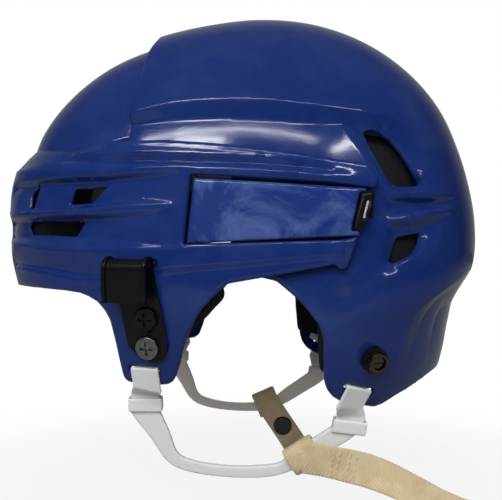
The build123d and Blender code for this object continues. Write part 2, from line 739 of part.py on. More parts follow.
def make_strap():
    """Chin strap webbing: wrapped round both loops, with its free tail at the near loop."""
    far, near = strap_ends()
    points, ways = strap_path()
    outward = near.z_dir * -(loop_thickness / 2 + bar_play + webbing_thickness / 2)
    spots = [loop_frame(place_share, 1) for place_share in [near_strap_share] + tail_shares]
    tail_points = [spot.origin + outward + Vector(0, index * tail_side_step, 0)
                   for index, spot in enumerate(spots)]
    tail_ways = [spots[0].y_dir] * 2 + [Vector(0, -tail_turn_share, 1)] * (len(spots) - 2)
    tail = ribbon(tail_points, tail_ways, webbing_width, webbing_thickness)
    body = fused(sleeve(far, far_run_width), sleeve(near, near_run_width),
                 ribbon(points, ways, webbing_width, webbing_thickness), tail)
    hole = button_plane() * Cylinder(button_stem_radius + hinge_fit, 4 * webbing_thickness)
    return one(body - hole)


def button_plane():
    """Plane on the middle line of the strap at the snap button, Z up."""
    points, ways = strap_path()
    before, at, after = points[button_step - 1:button_step + 2]
    run = (after - before).normalized()
    across = ways[button_step] - run * ways[button_step].dot(run)
    up = across.cross(run).normalized()
    return Plane(at, x_dir=run, z_dir=up if up.Z > 0 else -up)


def make_button():
    """Snap button on top of the strap, with the stem through the webbing."""
    top = Pos(0, 0, webbing_thickness / 2 + button_gap)
    cap = Cylinder(button_radius, button_height, align=standing)
    cap = fillet(cap.edges().group_by(Axis.Z)[-1], button_height / 2)
    stem = Cylinder(button_stem_radius, webbing_thickness + seat_gap, align=hanging)
    return button_plane() * (top * (cap + stem))


def make_button_back():
    """Washer that holds the snap button below the strap."""
    washer = Cylinder(button_radius, washer_height, align=hanging)
    washer -= Cylinder(button_stem_radius + hinge_fit, 4 * washer_height)
    return button_plane() * (Pos(0, 0, -webbing_thickness / 2 - button_gap) * washer)


def make_pad(outer, thickness, outline_shares, side_share, side=0):
    """Foam pad behind a shell: over a side view outline, within a share of the half width."""
    face = flat(outline_shares)
    pad = skin(outer, outer - thickness) & through(face, side)
    if side_share < 1:
        pad = pad & Box(4 * shell_length, 2 * side_share * half_width, 4 * crown_height)
    return one(pad)


standing = (Align.CENTER, Align.CENTER, Align.MIN)
hanging = (Align.CENTER, Align.CENTER, Align.MAX)

front_back = arm_raise - wall - seat_gap
dome_back = -dome_drop - wall - seat_gap
panel_back = -panel_recess - wall - seat_gap
rear_back = -wall - seat_gap

nodes = {
    "rear_shell": make_rear_shell(),
    "front_shell": make_front_shell(),
    "forehead_pad": make_pad(front_back, pad_thickness, forehead_pad_shares,
                             forehead_pad_side_share),
    "dome_pad": make_pad(dome_back, dome_pad_thickness, dome_pad_shares, dome_pad_side_share),
    "crown_pad": make_pad(rear_back, crown_pad_thickness, crown_pad_shares,
                          crown_pad_side_share),
    "nape_pad": make_pad(rear_back, pad_thickness, nape_pad_shares, nape_pad_side_share),
    "j_clip_screws": Compound(make_clip_screws()),
    "j_clip_inserts": Compound(make_clip_nuts()),
    "snap_spacers": Compound(make_snap_spacers()),
    "snap_studs": Compound(make_snap_studs()),
    "snap_screws": Compound(make_snap_screws()),
    "snap_inserts": Compound(make_snap_nuts()),
    "chin_strap": make_strap(),
    "chin_strap_button": make_button(),
    "chin_strap_washer": make_button_back(),
}
for name, side in (("left", 1), ("right", -1)):
    nodes[name + "_length_lever"] = make_lever(side)
    nodes[name + "_lever_pin"] = make_lever_pin(side)
    nodes[name + "_release_latch"] = make_latch(side)
    nodes[name + "_latch_pin"] = make_latch_pin(side)
    nodes[name + "_latch_rack"] = make_rack(side)
    nodes[name + "_j_clip"] = make_clip(side)
    nodes[name + "_ear_loop"] = make_loop(side)
    nodes[name + "_front_hanger"] = make_hanger(
        front_slot_shares, arm_raise, front_keeper_share, 0, side)
    nodes[name + "_rear_hanger"] = make_hanger(
        rear_slot_shares, 0, rear_keeper_share, rear_lean, side)
    nodes[name + "_temple_pad"] = make_pad(
        front_back, pad_thickness, temple_pad_shares, 1, side)
    nodes[name + "_side_pad"] = make_pad(panel_back, pad_thickness, side_pad_shares, 1, side)
    nodes[name + "_lobe_pad"] = make_pad(rear_back, lobe_pad_thickness, lobe_pad_shares, 1, side)

os.makedirs("parts", exist_ok=True)
for name, shape in nodes.items():
    export_step(shape, "parts/" + name + ".step")
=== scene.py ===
import bpy
import math
import numpy as np
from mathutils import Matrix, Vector, kdtree
from mathutils.geometry import delaunay_2d_cdt


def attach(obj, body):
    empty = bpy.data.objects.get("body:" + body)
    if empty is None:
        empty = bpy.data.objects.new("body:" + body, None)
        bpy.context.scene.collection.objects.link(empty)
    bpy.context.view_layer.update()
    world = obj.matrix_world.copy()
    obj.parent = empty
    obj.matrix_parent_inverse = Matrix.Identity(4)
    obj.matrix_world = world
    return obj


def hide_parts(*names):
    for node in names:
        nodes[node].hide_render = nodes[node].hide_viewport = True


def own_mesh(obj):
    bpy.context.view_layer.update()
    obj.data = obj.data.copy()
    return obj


# Ice hockey helmet. X to the face, Y to the wearer's left, Z up, metres; the tables below are in millimetres.
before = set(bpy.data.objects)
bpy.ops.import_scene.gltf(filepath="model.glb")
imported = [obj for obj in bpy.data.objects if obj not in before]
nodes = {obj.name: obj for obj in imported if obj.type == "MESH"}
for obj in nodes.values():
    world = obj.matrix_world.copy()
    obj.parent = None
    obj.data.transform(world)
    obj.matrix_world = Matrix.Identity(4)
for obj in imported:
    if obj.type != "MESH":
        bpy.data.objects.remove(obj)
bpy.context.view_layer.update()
mm = 0.001

print("camera")
camera = {
    "place": (7.07, 470, 53),       # level with the middle of the helmet, on the wearer's left
    "lens": 57.2,                   # 798 px over a 502 px wide picture
    "shift": (0.002, -0.0199),
}
cameraData = bpy.data.cameras.new("camera")
cameraData.lens = camera["lens"]
cameraData.sensor_width = 36
cameraData.shift_x, cameraData.shift_y = camera["shift"]
cameraData.clip_start = 0.01
cameraObject = bpy.data.objects.new("camera", cameraData)
bpy.context.collection.objects.link(cameraObject)
cameraObject.location = Vector(camera["place"]) * mm
cameraObject.rotation_euler = (math.pi / 2, 0, math.pi)
bpy.context.scene.camera = cameraObject


# Outer form of the shells: turn goes round the ear axis from the face, spread from the middle to the side
form = {
    "length": 264.0, "crown": 178.5, "halfWidth": 104.0, "lengthShare": 1.479,
    "sidePower": 2.35, "egg": 0.12, "backEgg": 0.02,
    "tuck": 0.10, "tuckStart": 0.25, "tuckSpan": 0.39,
    "profile": [
        (-30, 0.560), (-18, 0.640), (-8, 0.690), (0, 0.725), (6, 0.752), (12, 0.782), (18, 0.825),
        (24, 0.857), (30, 0.903), (36, 0.930), (42, 0.966), (50, 0.992), (60, 1.005), (70, 1.001),
        (80, 0.997), (90, 1.000), (100, 0.997), (110, 0.980), (120, 0.947), (128, 0.908),
        (136, 0.855), (144, 0.805), (152, 0.758), (160, 0.706), (168, 0.632), (176, 0.594),
        (184, 0.576), (192, 0.563), (200, 0.549), (210, 0.527), (225, 0.493),
    ],
    "discScale": 130 * math.pi / 180,   # mm for each degree on the flat map round the ear
    "seam": -100,                       # turn at which the map is cut, under the neck
    "widest": 89.0, "halvings": 34,     # search for the point under a place in side view
}
formReach = form["length"] / form["lengthShare"]


def smoothProfile():
    # a curve through the profile's points, read every half degree
    angles, radii = (np.array(column) for column in zip(*form["profile"]))
    slopes = np.empty_like(radii)
    slopes[1:-1] = (radii[2:] - radii[:-2]) / (angles[2:] - angles[:-2])
    slopes[0] = (radii[1] - radii[0]) / (angles[1] - angles[0])
    slopes[-1] = (radii[-1] - radii[-2]) / (angles[-1] - angles[-2])
    step = 0.5
    wanted = np.arange(angles[0], angles[-1] + step, step)
    at = np.clip(np.searchsorted(angles, wanted, side="right") - 1, 0, len(angles) - 2)
    span = angles[at + 1] - angles[at]
    t = np.clip((wanted - angles[at]) / span, 0, 1)
    rise = t * t * (3 - 2 * t)
    pull = span * (t * (1 - t) ** 2 * slopes[at] - t * t * (1 - t) * slopes[at + 1])
    return wanted, radii[at] + (radii[at + 1] - radii[at]) * rise + pull


profileTurns, profileRadii = smoothProfile()


def formPoints(turn, spread):
    lean, swing = np.radians(spread), np.radians(turn)
    power = form["sidePower"]
    upright = np.abs(np.cos(lean) / np.interp(turn, profileTurns, profileRadii)) ** power
    size = (upright + np.abs(np.sin(lean)) ** power) ** (-1 / power)
    along = size * np.cos(lean) * np.cos(swing)
    above = size * np.cos(lean) * np.sin(swing)
    egg = 1 - form["egg"] * np.maximum(along, 0) ** 2 - form["backEgg"] * np.maximum(-along, 0) ** 2
    tuck = 1 - form["tuck"] * (np.maximum(form["tuckStart"] - above, 0) / form["tuckSpan"]) ** 2
    side = size * np.sin(lean) * egg * tuck
    return np.stack([formReach * along, form["halfWidth"] * side, form["crown"] * above], -1)


def formNormals(turn, spread):
    step = 0.05
    roundWay = formPoints(turn + step, spread) - formPoints(turn - step, spread)
    sideWay = formPoints(turn, spread + step) - formPoints(turn, spread - step)
    normal = np.cross(sideWay, roundWay)
    return normal / np.linalg.norm(normal, axis=-1, keepdims=True)


def placeOnForm(x, z):
    # turn and spread of the near side's point that lies at x and z in side view
    turn = np.degrees(np.arctan2(z / form["crown"], x / formReach))
    turn = np.where(turn < form["seam"], turn + 360, turn)
    goal = np.hypot(x / formReach, z / form["crown"])
    low, high = np.zeros_like(turn), np.full_like(turn, form["widest"])
    for _ in range(form["halvings"]):
        middle = (low + high) / 2
        point = formPoints(turn, middle)
        inside = np.hypot(point[:, 0] / formReach, point[:, 2] / form["crown"]) > goal
        low, high = np.where(inside, middle, low), np.where(inside, high, middle)
    return turn, low


def toDisc(places):
    turn, spread = placeOnForm(places[:, 0], places[:, 1])
    reach = (90 - spread) * form["discScale"]
    return np.stack([reach * np.cos(np.radians(turn)), reach * np.sin(np.radians(turn))], -1)


def fromDisc(flat):
    turn = np.degrees(np.arctan2(flat[:, 1], flat[:, 0]))
    turn = np.where(turn < form["seam"], turn + 360, turn)
    return turn, 90 - np.hypot(flat[:, 0], flat[:, 1]) / form["discScale"]


sheetGrid = {
    "coarse": 3.4, "middle": 1.6, "fine": 0.8,      # mm between points, far from a line and near one
    "middleReach": 5.5, "fineReach": 2.2,           # how far from a line the smaller points go
    "middleGap": 0.4, "coarseGap": 0.8, "innerGap": 1.2, "rimGap": 0.5, "closest": 0.25,
    "crowded": 0.45,                                # share of the fine step that two points keep
    "lineRound": 3.0, "cornerShare": 0.45,          # bends of a crease, and how much of a side a bend takes
    "pull": 0.004,                                  # how strongly the skin returns to its own level
    "soften": 3,                                    # passes that round the creases
    "weights": (0.005, 8),                          # limits for the pull along one edge of a triangle
    "rounds": 500, "enough": 1e-6,                  # when the heights are settled
    "lipWidth": 1.2, "lipDepth": 0.7, "lipCurve": 0.96,
    "thinnest": 1.5,
    "centre": 0.02,                                 # degrees from the middle plane that count as on it
}


def rounded(points, radius, closed=True):
    # the outline with its corners turned to short curves
    points = [np.array(p, float) for p in points]
    result = []
    for index, point in enumerate(points):
        if not closed and index in (0, len(points) - 1):
            result.append(point)
            continue
        before, after = points[index - 1], points[(index + 1) % len(points)]
        backWay, onWay = before - point, after - point
        backLength, onLength = np.linalg.norm(backWay[:2]), np.linalg.norm(onWay[:2])
        cut = min(radius, sheetGrid["cornerShare"] * backLength, sheetGrid["cornerShare"] * onLength)
        start, end = point + backWay / backLength * cut, point + onWay / onLength * cut
        for t in (0, 0.25, 0.5, 0.75, 1):
            result.append(start * (1 - t) ** 2 + point * 2 * t * (1 - t) + end * t * t)
    return np.array(result)


def spaced(points, step, closed=True):
    # the outline with points no further apart than step
    ends = np.roll(points, -1, axis=0) if closed else points[1:]
    result = []
    for start, end in zip(points, ends):
        count = max(1, math.ceil(np.linalg.norm((end - start)[:2]) / step - 1e-6))
        result += [start + (end - start) * k / count for k in range(count)]
    if not closed:
        result.append(points[-1])
    kept = [result[0]]
    for point in result[1:]:
        if np.linalg.norm((point - kept[-1])[:2]) > sheetGrid["closest"]:
            kept.append(point)
    return np.array(kept)


def insideLoop(points, loop):
    # even-odd test of flat points against a closed loop
    x, y = points[:, 0][:, None], points[:, 1][:, None]
    ax, ay = loop[:, 0][None], loop[:, 1][None]
    bx, by = np.roll(loop[:, 0], -1)[None], np.roll(loop[:, 1], -1)[None]
    hits = ((ay > y) != (by > y)) & (x < (bx - ax) * (y - ay) / np.where(by == ay, 1e-12, by - ay) + ax)
    return hits.sum(axis=1) % 2 == 1


def nearest(points, targets):
    # distance from each flat point to the nearest target, and which one that is
    tree = kdtree.KDTree(len(targets))
    for index, (x, y) in enumerate(targets):
        tree.insert((x, y, 0), index)
    tree.balance()
    found = [tree.find((x, y, 0)) for x, y in points]
    return np.array([f[2] for f in found]), np.array([f[1] for f in found])


def hexGrid(low, high, step):
    rows = np.arange(low[1], high[1], step * math.sqrt(3) / 2)
    result = []
    for index, y in enumerate(rows):
        xs = np.arange(low[0] + (index % 2) * step / 2, high[0], step)
        result.append(np.stack([xs, np.full_like(xs, y)], -1))
    return np.concatenate(result)


def insideAll(points, loops):
    keep = insideLoop(points, loops[0])
    for hole in loops[1:]:
        keep &= ~insideLoop(points, hole)
    return keep


def triangulated(points, edges, loops):
    # triangles between the outline and the holes, and where each given point went
    verts, _, faces, origins, _, _ = delaunay_2d_cdt([Vector(p) for p in points], edges, [], 0, 1e-5)
    flat = np.array([tuple(v) for v in verts])
    faces = np.array([f for f in faces if len(f) == 3])
    faces = faces[insideAll(flat[faces].mean(axis=1), loops)]
    used = np.unique(faces)
    renumber = np.full(len(flat), -1)
    renumber[used] = np.arange(len(used))
    came = np.full(len(points), -1)
    for old in used:
        for origin in origins[old]:
            came[origin] = renumber[old]
    return flat[used], renumber[faces], came


def relaxed(faces, base, held, heights, home):
    # heights that run evenly from line to line, found by conjugate gradients
    pairs, weights, count = [], [], len(base)
    for a, b, c in ((0, 1, 2), (1, 2, 0), (2, 0, 1)):
        one, two = base[faces[:, a]] - base[faces[:, c]], base[faces[:, b]] - base[faces[:, c]]
        turn = np.linalg.norm(np.cross(one, two), axis=1)
        weight = (one * two).sum(axis=1) / np.maximum(turn, 1e-6) / 2
        weights.append(np.clip(weight, *sheetGrid["weights"]))
        pairs.append(faces[:, [a, b]])
    pairs, weights = np.concatenate(pairs), np.concatenate(weights)

    def gathered(values):
        near = np.bincount(pairs[:, 0], weights * values[pairs[:, 1]], count)
        return near + np.bincount(pairs[:, 1], weights * values[pairs[:, 0]], count)

    total = np.bincount(pairs.ravel(), np.repeat(weights, 2), count)
    area = sheetGrid["pull"]
    free = ~held
    residual = np.where(free, gathered(heights) + area * home - (total + area) * heights, 0)
    way, size = residual / total, (residual ** 2 / total).sum()
    for _ in range(sheetGrid["rounds"]):
        pushed = np.where(free, (total + area) * way - gathered(way), 0)
        share = size / (way * pushed).sum()
        heights = heights + share * way
        residual = residual - share * pushed
        fresh = (residual ** 2 / total).sum()
        if fresh < sheetGrid["enough"]:
            break
        way = residual / total + fresh / size * way
        size = fresh
    for _ in range(sheetGrid["soften"]):
        heights = 0.5 * heights + 0.5 * gathered(heights) / total
    return heights


def overForm(flat):
    # points and outward normals of the form under places on the map, and which lie on the middle plane
    turn, spread = fromDisc(flat)
    spread = np.maximum(spread, 0)
    return formPoints(turn, spread), formNormals(turn, spread), spread < sheetGrid["centre"]


def sheetMesh(name, outline, holes, lines, level, wall, sides=(1, -1), radius=1.2):
    # A moulded wall over the form. outline and holes are loops in side view. lines are creases with a
    # height at each point, and level(x, z) is the height that the skin has far from them.
    loops = [toDisc(spaced(rounded(loop, radius), sheetGrid["fine"])) for loop in [outline] + holes]
    points, edges, fixed = [], [], []
    for loop in loops:
        first = len(points)
        points += list(loop)
        fixed += [np.nan] * len(loop)
        edges += [(first + k, first + (k + 1) % len(loop)) for k in range(len(loop))]
    border, borderEdgesFlat = np.array(points), list(edges)
    for line in lines.values():
        run = spaced(rounded(line, sheetGrid["lineRound"], closed=False), sheetGrid["fine"], closed=False)
        flat = toDisc(run[:, :2])
        keep = insideAll(flat, loops) & (nearest(flat, border)[0] > sheetGrid["rimGap"])
        previous = None
        for index in range(len(run)):
            if keep[index]:
                points.append(flat[index])
                fixed.append(run[index, 2])
                if previous is not None:
                    edges.append((previous, len(points) - 1))
            previous = len(points) - 1 if keep[index] else None
    marks = np.array(points)
    low, high = border.min(axis=0) - 1, border.max(axis=0) + 1
    grids = [hexGrid(low, high, sheetGrid[key]) for key in ("fine", "middle", "coarse")]
    gaps = [nearest(grid, marks)[0] for grid in grids]
    fineEnd, middleEnd = sheetGrid["fineReach"], sheetGrid["middleReach"]
    between = (gaps[1] >= fineEnd + sheetGrid["middleGap"]) & (gaps[1] < middleEnd)
    away = gaps[2] >= middleEnd + sheetGrid["coarseGap"]
    extra = np.concatenate([grids[0][gaps[0] < fineEnd], grids[1][between], grids[2][away]])
    extra = extra[insideAll(extra, loops)]
    extra = extra[nearest(extra, marks)[0] > sheetGrid["crowded"] * sheetGrid["fine"]]
    flat, faces, came = triangulated(list(marks) + list(extra), edges, loops)
    base, normal, centre = overForm(flat)
    home = level(base[:, 0], base[:, 2])
    given = np.full(len(flat), np.nan)
    placed = came[:len(fixed)] >= 0
    given[came[:len(fixed)][placed]] = np.array(fixed)[placed]
    held = ~np.isnan(given)
    heights = relaxed(faces, base, held, np.where(held, given, home), home)
    rim = np.clip(1 - nearest(flat, border)[0] / sheetGrid["lipWidth"], 0, 1)
    drop = sheetGrid["lipDepth"] * (1 - np.sqrt(1 - rim ** 2 * sheetGrid["lipCurve"]))
    outer = base + normal * (heights - np.where(centre, 0, drop))[:, None]
    # the inner skin has fewer points and shares only the rim
    inside = hexGrid(low, high, sheetGrid["coarse"])
    inside = inside[insideAll(inside, loops)]
    inside = inside[nearest(inside, border)[0] > sheetGrid["innerGap"]]
    innerFlat, innerFaces, innerCame = triangulated(list(border) + list(inside), borderEdgesFlat, loops)
    innerBase, innerNormal, innerCentre = overForm(innerFlat)
    near = nearest(innerFlat, flat)[1]
    depth = np.minimum(level(innerBase[:, 0], innerBase[:, 2]) - wall, heights[near] - sheetGrid["thinnest"])
    inner = innerBase + innerNormal * depth[:, None]
    skins = [(outer, centre, turnedOut(faces, outer, normal)),
             (inner, innerCentre, turnedOut(innerFaces, inner, innerNormal)[:, ::-1])]
    return buildSheet(name, skins, [(came[k], innerCame[k]) for k in range(len(border))], sides)


def turnedOut(faces, points, normal):
    a, b, c = (points[faces[:, k]] for k in range(3))
    turned = (np.cross(b - a, c - a) * normal[faces[:, 0]]).sum(axis=1) < 0
    return np.where(turned[:, None], faces[:, ::-1], faces)


def buildSheet(name, skins, rimPairs, sides):
    # both skins of one or both sides, welded at the middle, and the walls between them
    twin = dict(pair for pair in rimPairs if min(pair) >= 0)
    rim = borderEdges(skins[0][2])
    middle = skins[0][1]
    if len(sides) == 2:
        rim = rim[~(middle[rim[:, 0]] & middle[rim[:, 1]])]
    rim = np.array([edge for edge in rim if edge[0] in twin and edge[1] in twin])
    verts, tris, firstOwn, count = [], [], [], 0
    for side in sides:
        owns = []
        for index, (points, centre, faces) in enumerate(skins):
            points = points.copy()
            points[centre, 1] = 0
            own = np.arange(len(points)) + count
            if side != sides[0]:
                own = np.where(centre, firstOwn[index], own)
            count += len(points)
            verts.append(points * np.array([1, side, 1]))
            owns.append(own)
            tris.append(own[faces] if side > 0 else own[faces][:, ::-1])
        if side == sides[0]:
            firstOwn = owns
        p, q = owns[0][rim[:, 0]], owns[0][rim[:, 1]]
        under = np.array([[twin[a], twin[b]] for a, b in rim])
        m, n = owns[1][under[:, 0]], owns[1][under[:, 1]]
        walls = np.concatenate([np.stack([q, p, m], -1), np.stack([q, m, n], -1)])
        tris.append(walls if side > 0 else walls[:, ::-1])
    verts, tris = np.concatenate(verts) * mm, np.concatenate(tris)
    used = np.unique(tris)
    renumber = np.full(len(verts), -1)
    renumber[used] = np.arange(len(used))
    return newPiece(name, verts[used], renumber[tris].tolist(), sharp=70)


def borderEdges(faces):
    directed = np.concatenate([faces[:, [0, 1]], faces[:, [1, 2]], faces[:, [2, 0]]])
    keys = np.sort(directed, axis=1)
    _, first, counts = np.unique(keys, axis=0, return_index=True, return_counts=True)
    return directed[first[counts == 1]]


def newPiece(name, verts, faces, sharp=40):
    mesh = bpy.data.meshes.new(name)
    mesh.from_pydata([tuple(v) for v in verts], [], [tuple(f) for f in faces])
    mesh.update()
    mesh.shade_smooth()
    mesh.set_sharp_from_angle(angle=math.radians(sharp))
    piece = bpy.data.objects.new(name, mesh)
    bpy.context.collection.objects.link(piece)
    return piece


# Side view loops of the shells, as shares of the length and of the crown height
frontOutline = [
    (0.620, 0.165), (0.530, 0.163), (0.424, 0.163), (0.367, 0.160), (0.335, 0.155),
    (0.319, 0.147), (0.301, 0.133), (0.287, 0.111), (0.277, 0.085), (0.268, 0.029),
    (0.257, -0.062), (0.254, -0.075), (0.246, -0.084), (0.187, -0.086), (0.173, -0.084),
    (0.162, -0.073), (0.153, -0.038), (0.142, 0.025), (0.129, 0.073), (0.115, 0.110),
    (0.095, 0.144), (0.066, 0.184), (-0.122, 0.233), (-0.134, 0.218), (-0.145, 0.227),
    (-0.162, 0.305), (-0.137, 0.296), (0.143, 0.284), (0.132, 0.469), (-0.125, 0.446),
    (-0.192, 0.435), (-0.200, 0.442), (-0.203, 0.463), (-0.185, 0.497), (-0.126, 0.509),
    (-0.063, 0.524), (0.014, 0.538), (0.093, 0.552), (0.172, 0.561), (0.255, 0.564),
    (0.302, 0.564), (0.290, 0.578), (0.250, 0.596), (0.144, 0.604), (0.144, 1.100),
    (0.620, 1.100),
]
rearOutline = [
    (0.205, 1.120), (0.213, 0.935), (0.220, 0.899), (0.231, 0.851), (0.237, 0.770),
    (0.246, 0.712), (0.253, 0.664), (0.256, 0.625), (0.260, 0.567), (0.259, 0.538),
    (0.240, 0.515), (0.070, 0.495), (0.062, 0.480), (0.062, 0.260), (0.050, 0.215),
    (-0.020, 0.190), (-0.048, 0.155), (-0.060, 0.138), (-0.078, 0.108), (-0.097, 0.072),
    (-0.105, 0.035), (-0.108, -0.079), (-0.113, -0.105), (-0.124, -0.126), (-0.142, -0.143),
    (-0.207, -0.168), (-0.223, -0.162), (-0.248, -0.142), (-0.290, -0.117), (-0.334, -0.093),
    (-0.402, -0.075), (-0.600, -0.070), (-0.600, 1.120),
]
panelOutline = [
    (0.330, 0.665), (0.250, 0.650), (0.175, 0.673), (0.064, 0.681), (-0.065, 0.667),
    (-0.181, 0.651), (-0.252, 0.635), (-0.294, 0.577), (-0.329, 0.508), (-0.350, 0.440),
    (-0.345, 0.345), (-0.318, 0.265), (-0.231, 0.205), (-0.145, 0.150), (-0.070, 0.125),
    (0.330, 0.125),
]
domeOutline = [
    (0.620, 0.577), (0.508, 0.577), (0.440, 0.558), (0.382, 0.546), (0.356, 0.551),
    (0.302, 0.568), (0.290, 0.577), (0.100, 0.590), (0.100, 1.200), (0.620, 1.200),
]
frontVents = [
    [(0.436, 0.458), (0.460, 0.432), (0.457, 0.384), (0.447, 0.383)],
    [(0.365, 0.3955), (0.359, 0.439), (0.289, 0.443), (0.317, 0.398)],
    [(0.465, 0.335), (0.456, 0.348), (0.339, 0.350), (0.334, 0.344), (0.350, 0.307), (0.457, 0.311)],
]
rearVents = [
    [(-0.189, 0.604), (-0.202, 0.608), (-0.222, 0.604), (-0.245, 0.587), (-0.268, 0.547), (-0.293, 0.491),
     (-0.305, 0.462), (-0.300, 0.450), (-0.253, 0.449), (-0.243, 0.461), (-0.220, 0.519)],
    [(-0.251, 0.306), (-0.262, 0.311), (-0.298, 0.318), (-0.300, 0.306), (-0.294, 0.280),
     (-0.281, 0.259), (-0.244, 0.236), (-0.235, 0.236), (-0.234, 0.247), (-0.243, 0.273)],
]
doorOutline = [
    (0.126, 0.458), (0.137, 0.288), (-0.123, 0.305), (-0.167, 0.309), (-0.164, 0.319),
    (-0.150, 0.319), (-0.168, 0.424), (-0.179, 0.424), (-0.179, 0.432), (-0.124, 0.436),
]
latchOutline = [
    (-0.1535, 0.324), (-0.1715, 0.421), (-0.194, 0.422), (-0.1915, 0.395), (-0.178, 0.345), (-0.167, 0.324),
]
latchSlot = [(-0.1850, 0.401), (-0.1795, 0.401), (-0.1700, 0.352), (-0.1755, 0.352)]


def inMm(shares):
    return [(x * form["length"], z * form["crown"]) for x, z in shares]


def slotLoop(start, end, half):
    # long hole in side view between two places given in shares
    (ax, az), (bx, bz) = inMm([start, end])
    way = Vector((bx - ax, bz - az)).normalized()
    square = Vector((-way.y, way.x)) * half
    corners = [Vector((ax, az)) + square, Vector((ax, az)) - square,
               Vector((bx, bz)) - square, Vector((bx, bz)) + square]
    return [tuple(c) for c in corners]


